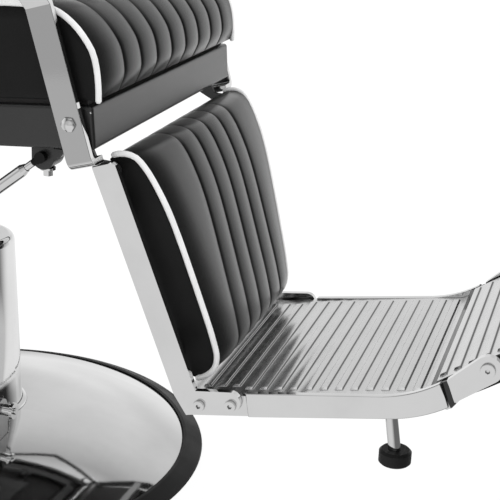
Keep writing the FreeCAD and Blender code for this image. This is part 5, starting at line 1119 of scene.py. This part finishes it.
class CHAIR_OT_flap_pad(bpy.types.Operator):
    """Builds the thin pad on the back of the flap"""

    bl_idname = "chair.flap_pad"
    bl_label = "Flap pad"

    def execute(self, context):
        outline = [
            (-64.2, 0.0), (-65.0, 6.0), (-63.8, 12.5), (-59.0, 18.5), (-50.0, 22.5), (-25.0, 24.5),
            (25.0, 24.5), (50.0, 22.5), (59.0, 18.5), (63.8, 12.5), (65.0, 6.0), (64.2, 0.0),
        ]
        form = pad_form(
            "flap_pad_cover", lambda a, y, t: FLAP.at(a, y, 0.5 - t), outline,
            lambda a: 153.5, rows_of(76.0, 3), shoulder=2.2, shoulder_width=9.0, puff=0.6,
            arch=38.0, side_draw=1.0, fade=10.0, spacing=5.0, limit=1.5,
        )
        make_pad(form, "flap", "flap_pad")
        return {"FINISHED"}


class CHAIR_OT_pedal_tread(bpy.types.Operator):
    """Builds the ribbed rubber tread of the pump pedal"""

    bl_idname = "chair.pedal_tread"
    bl_label = "Pedal tread"

    def execute(self, context):
        low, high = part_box("pedal_pad")
        size = high - low
        columns, ribs = 61, 7
        depths = (0.0, 0.03, 0.1, 0.3, 0.5, 0.7, 0.9, 0.97, 1.0)
        vertices, faces = [], []
        for across in depths:
            edge = min(across, 1 - across)
            lift = 1.0 if edge > 0.05 else 0.55 + 9.0 * edge
            for column in range(columns):
                share = column / (columns - 1)
                rib = 0.5 + 0.5 * math.cos(2 * math.pi * ribs * share)
                end = min(share, 1 - share)
                top = 0.68 + (0.3 * rib if 0.03 < end and edge > 0.02 else 0.0)
                if end < 0.02:
                    top = 0.45 + 11.0 * end
                vertices.append(Vector((
                    low.x + size.x * share, low.y + size.y * across, low.z + size.z * top * lift,
                )))
        count = len(vertices)
        for across in depths:
            for column in range(columns):
                vertices.append(Vector((
                    low.x + size.x * column / (columns - 1), low.y + size.y * across, low.z,
                )))
        rows = len(depths)

        def top_at(i, j):
            return i * columns + j

        def foot_at(i, j):
            return count + i * columns + j

        for i in range(rows - 1):
            for j in range(columns - 1):
                for at in (top_at, foot_at):
                    faces.append((at(i, j), at(i, j + 1), at(i + 1, j + 1), at(i + 1, j)))
        for i in range(rows - 1):
            for j in (0, columns - 1):
                faces.append((top_at(i, j), top_at(i + 1, j), foot_at(i + 1, j), foot_at(i, j)))
        for j in range(columns - 1):
            for i in (0, rows - 1):
                faces.append((top_at(i, j), top_at(i, j + 1), foot_at(i, j + 1), foot_at(i, j)))
        piece = new_piece("pedal_tread", vertices, faces, finish("rubber"))
        finer = piece.modifiers.new("Rounded", "SUBSURF")
        finer.levels = finer.render_levels = 1
        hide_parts("pedal_pad")
        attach(piece, "pedal")
        return {"FINISHED"}


def shader_mix(tree, factor, first, second):
    node = tree.nodes.new("ShaderNodeMixShader")
    for index, source in enumerate((factor, first, second)):
        join(tree, source, node.inputs[index])
    return node.outputs[0]


def white_light(tree, kind, strength):
    """White light of a background or of a surface."""
    node = tree.nodes.new(kind)
    node.inputs["Color"].default_value = (1.0, 1.0, 1.0, 1.0)
    put(tree, strength, node.inputs["Strength"])
    return node.outputs[0]


class CHAIR_OT_stage(bpy.types.Operator):
    """Sets the camera, the plain pale floor and the soft lamps"""

    bl_idname = "chair.stage"
    bl_label = "Stage and camera"

    def execute(self, context):
        scene = context.scene
        stage = scene.chair_stage
        scene.view_settings.view_transform = "Standard"
        place = Vector(stage.camera_place)
        ahead = (Vector(stage.camera_aim) - place).normalized()
        right = ahead.cross(Vector((0, 0, 1))).normalized()
        up = right.cross(ahead)
        turn = stage.camera_roll
        tipped = right * math.cos(turn) + up * math.sin(turn)
        upward = up * math.cos(turn) - right * math.sin(turn)
        data = bpy.data.cameras.new("Camera")
        data.sensor_width = 36.0
        data.lens = stage.lens
        data.clip_start, data.clip_end = 0.02, 60.0
        camera = bpy.data.objects.new("Camera", data)
        scene.collection.objects.link(camera)
        turned = Matrix((tipped, upward, -ahead)).transposed().to_4x4()
        camera.matrix_world = Matrix.Translation(place) @ turned
        scene.camera = camera
        self.make_world(scene, stage)
        self.make_floor()
        for label, watts, where, aim, size in (
            ("Key lamp", stage.key, (2.6, 0.9, 2.3), (0.2, 0.0, 0.5), 2.2),
            ("Top lamp", stage.top, (-0.3, 0.2, 3.2), (0.2, 0.0, 0.4), 2.6),
            ("Fill lamp", stage.fill, (0.2, -3.0, 1.6), (0.2, 0.0, 0.5), 2.0),
        ):
            lamp = bpy.data.lights.new(label, "AREA")
            lamp.shape = "DISK"
            lamp.size = size
            lamp.energy = watts
            holder = bpy.data.objects.new(label, lamp)
            scene.collection.objects.link(holder)
            holder.visible_glossy = False
            holder.location = where
            look = Vector(aim) - Vector(where)
            holder.rotation_euler = look.to_track_quat("-Z", "Y").to_euler()
        return {"FINISHED"}

    def make_world(self, scene, stage):
        """White to the camera; pale with soft dark bands to polished metal; plain otherwise."""
        world = bpy.data.worlds.new("Studio")
        world.use_nodes = True
        world.cycles.sampling_method = "NONE"
        scene.world = world
        tree = world.node_tree
        tree.nodes.clear()
        out = tree.nodes.new("ShaderNodeOutputWorld")
        path = tree.nodes.new("ShaderNodeLightPath")
        way = tree.nodes.new("ShaderNodeTexCoord").outputs["Generated"]
        parts = parts_of(tree, way)
        back = spread(tree, parts["Y"], 0.32, 0.96, 0.03, 1.0)
        back = math_node(tree, "MULTIPLY", back, spread(tree, parts["Z"], 0.05, 0.35, 1.0, 0.76))
        over = spread(tree, parts["Z"], 0.6, 0.92, 0.0, 0.9)
        right = spread(tree, parts["Y"], -0.9, -0.55, 0.62, 0.0)
        rear = spread(tree, parts["X"], -0.95, -0.35, 0.8, 0.0)
        over = math_node(tree, "MAXIMUM", over, math_node(tree, "MAXIMUM", right, rear))
        bands = spread(tree, noise_value(tree, way, 2.2, 0.0), 0.38, 0.62, 0.88, 1.04)
        gloss = math_node(tree, "MULTIPLY", math_node(tree, "MAXIMUM", back, over), bands)
        plain, shiny, seen = (
            white_light(tree, "ShaderNodeBackground", value) for value in (stage.sky, gloss, 1.02)
        )
        light = shader_mix(tree, path.outputs["Is Glossy Ray"], plain, shiny)
        light = shader_mix(tree, path.outputs["Is Camera Ray"], light, seen)
        join(tree, light, out.inputs["Surface"])

    def floor_shine(self, tree, spot):
        """How bright polished metal sees the floor: pale beside the chair, dark ahead of it."""
        away = vector_node(tree, "SUBTRACT", spot, (0.3, 0.0, 0.0))
        parts = parts_of(tree, vector_node(tree, "NORMALIZE", away))
        reach = vector_node(tree, "LENGTH", away, output="Value")
        shine = spread(tree, reach, 0.3, 0.7, 0.6, 0.0)
        for axis, low, high, to_low, to_high in (
            ("Y", 0.32, 0.96, 0.05, 0.92), ("Y", -0.9, -0.55, 0.73, 0.0), ("X", -0.95, -0.35, 0.7, 0.0)
        ):
            side = spread(tree, parts[axis], low, high, to_low, to_high)
            shine = math_node(tree, "MAXIMUM", shine, side)
        return shine

    def make_floor(self):
        """A wide round floor, white to the camera except for a soft shadow."""
        steps, radius = 96, 3.2
        vertices = [(0.0, 0.0, 0.0)]
        for number in range(steps):
            turn = 2 * math.pi * number / steps
            vertices.append((radius * math.cos(turn), radius * math.sin(turn), 0.0))
        faces = [(0, 1 + number, 1 + (number + 1) % steps) for number in range(steps)]
        material, tree, surface = start_material("Studio floor", 0.9)
        material.cycles.emission_sampling = "NONE"
        surface.inputs["Base Color"].default_value = (0.86, 0.86, 0.86, 1.0)
        surface.inputs["Specular IOR Level"].default_value = 0.1
        path = tree.nodes.new("ShaderNodeLightPath")
        dim = self.floor_shine(tree, object_place(tree))
        shine, glow = (white_light(tree, "ShaderNodeEmission", value) for value in (dim, 1.06))
        to_camera = math_node(tree, "MULTIPLY", path.outputs["Is Camera Ray"], 0.9)
        to_metal = math_node(tree, "MULTIPLY", path.outputs["Is Glossy Ray"], 0.88)
        light = shader_mix(tree, to_camera, surface.outputs[0], glow)
        light = shader_mix(tree, to_metal, light, shine)
        join(tree, light, tree.nodes["Material Output"].inputs["Surface"])
        floor = new_piece("studio_floor", vertices, faces, material, smooth=False)
        floor.location.z = -0.0005


class CHAIR_PT_panel(bpy.types.Panel):
    """Lists the steps that dress the chair"""

    bl_label = "Barber chair"
    bl_idname = "CHAIR_PT_panel"
    bl_space_type = "VIEW_3D"
    bl_region_type = "UI"
    bl_category = "Barber chair"

    def draw(self, context):
        column = self.layout.column()
        for operator in OPERATORS:
            column.operator(operator.bl_idname)
        for settings in (
            context.scene.chair_upholstery, context.scene.chair_finishes, context.scene.chair_stage
        ):
            for label in settings.bl_rna.properties.keys():
                if label not in ("rna_type", "name"):
                    column.prop(settings, label)


SETTINGS = (ChairUpholstery, ChairFinishes, ChairStage)
OPERATORS = (
    CHAIR_OT_finishes,
    CHAIR_OT_seat_cushion,
    CHAIR_OT_leg_cushion,
    CHAIR_OT_back_cushion,
    CHAIR_OT_head_cushion,
    CHAIR_OT_arm_pads,
    CHAIR_OT_flap_pad,
    CHAIR_OT_pedal_tread,
    CHAIR_OT_stage,
)


def register():
    for entry in (*SETTINGS, *OPERATORS, CHAIR_PT_panel):
        bpy.utils.register_class(entry)
    bpy.types.Scene.chair_upholstery = PointerProperty(type=ChairUpholstery)
    bpy.types.Scene.chair_finishes = PointerProperty(type=ChairFinishes)
    bpy.types.Scene.chair_stage = PointerProperty(type=ChairStage)


def unregister():
    for label in ("chair_stage", "chair_finishes", "chair_upholstery"):
        delattr(bpy.types.Scene, label)
    for entry in reversed((*SETTINGS, *OPERATORS, CHAIR_PT_panel)):
        bpy.utils.unregister_class(entry)


def main():
    register()
    for operator in OPERATORS:
        family, step = operator.bl_idname.split(".")
        getattr(getattr(bpy.ops, family), step)()


if __name__ == "__main__":
    main()
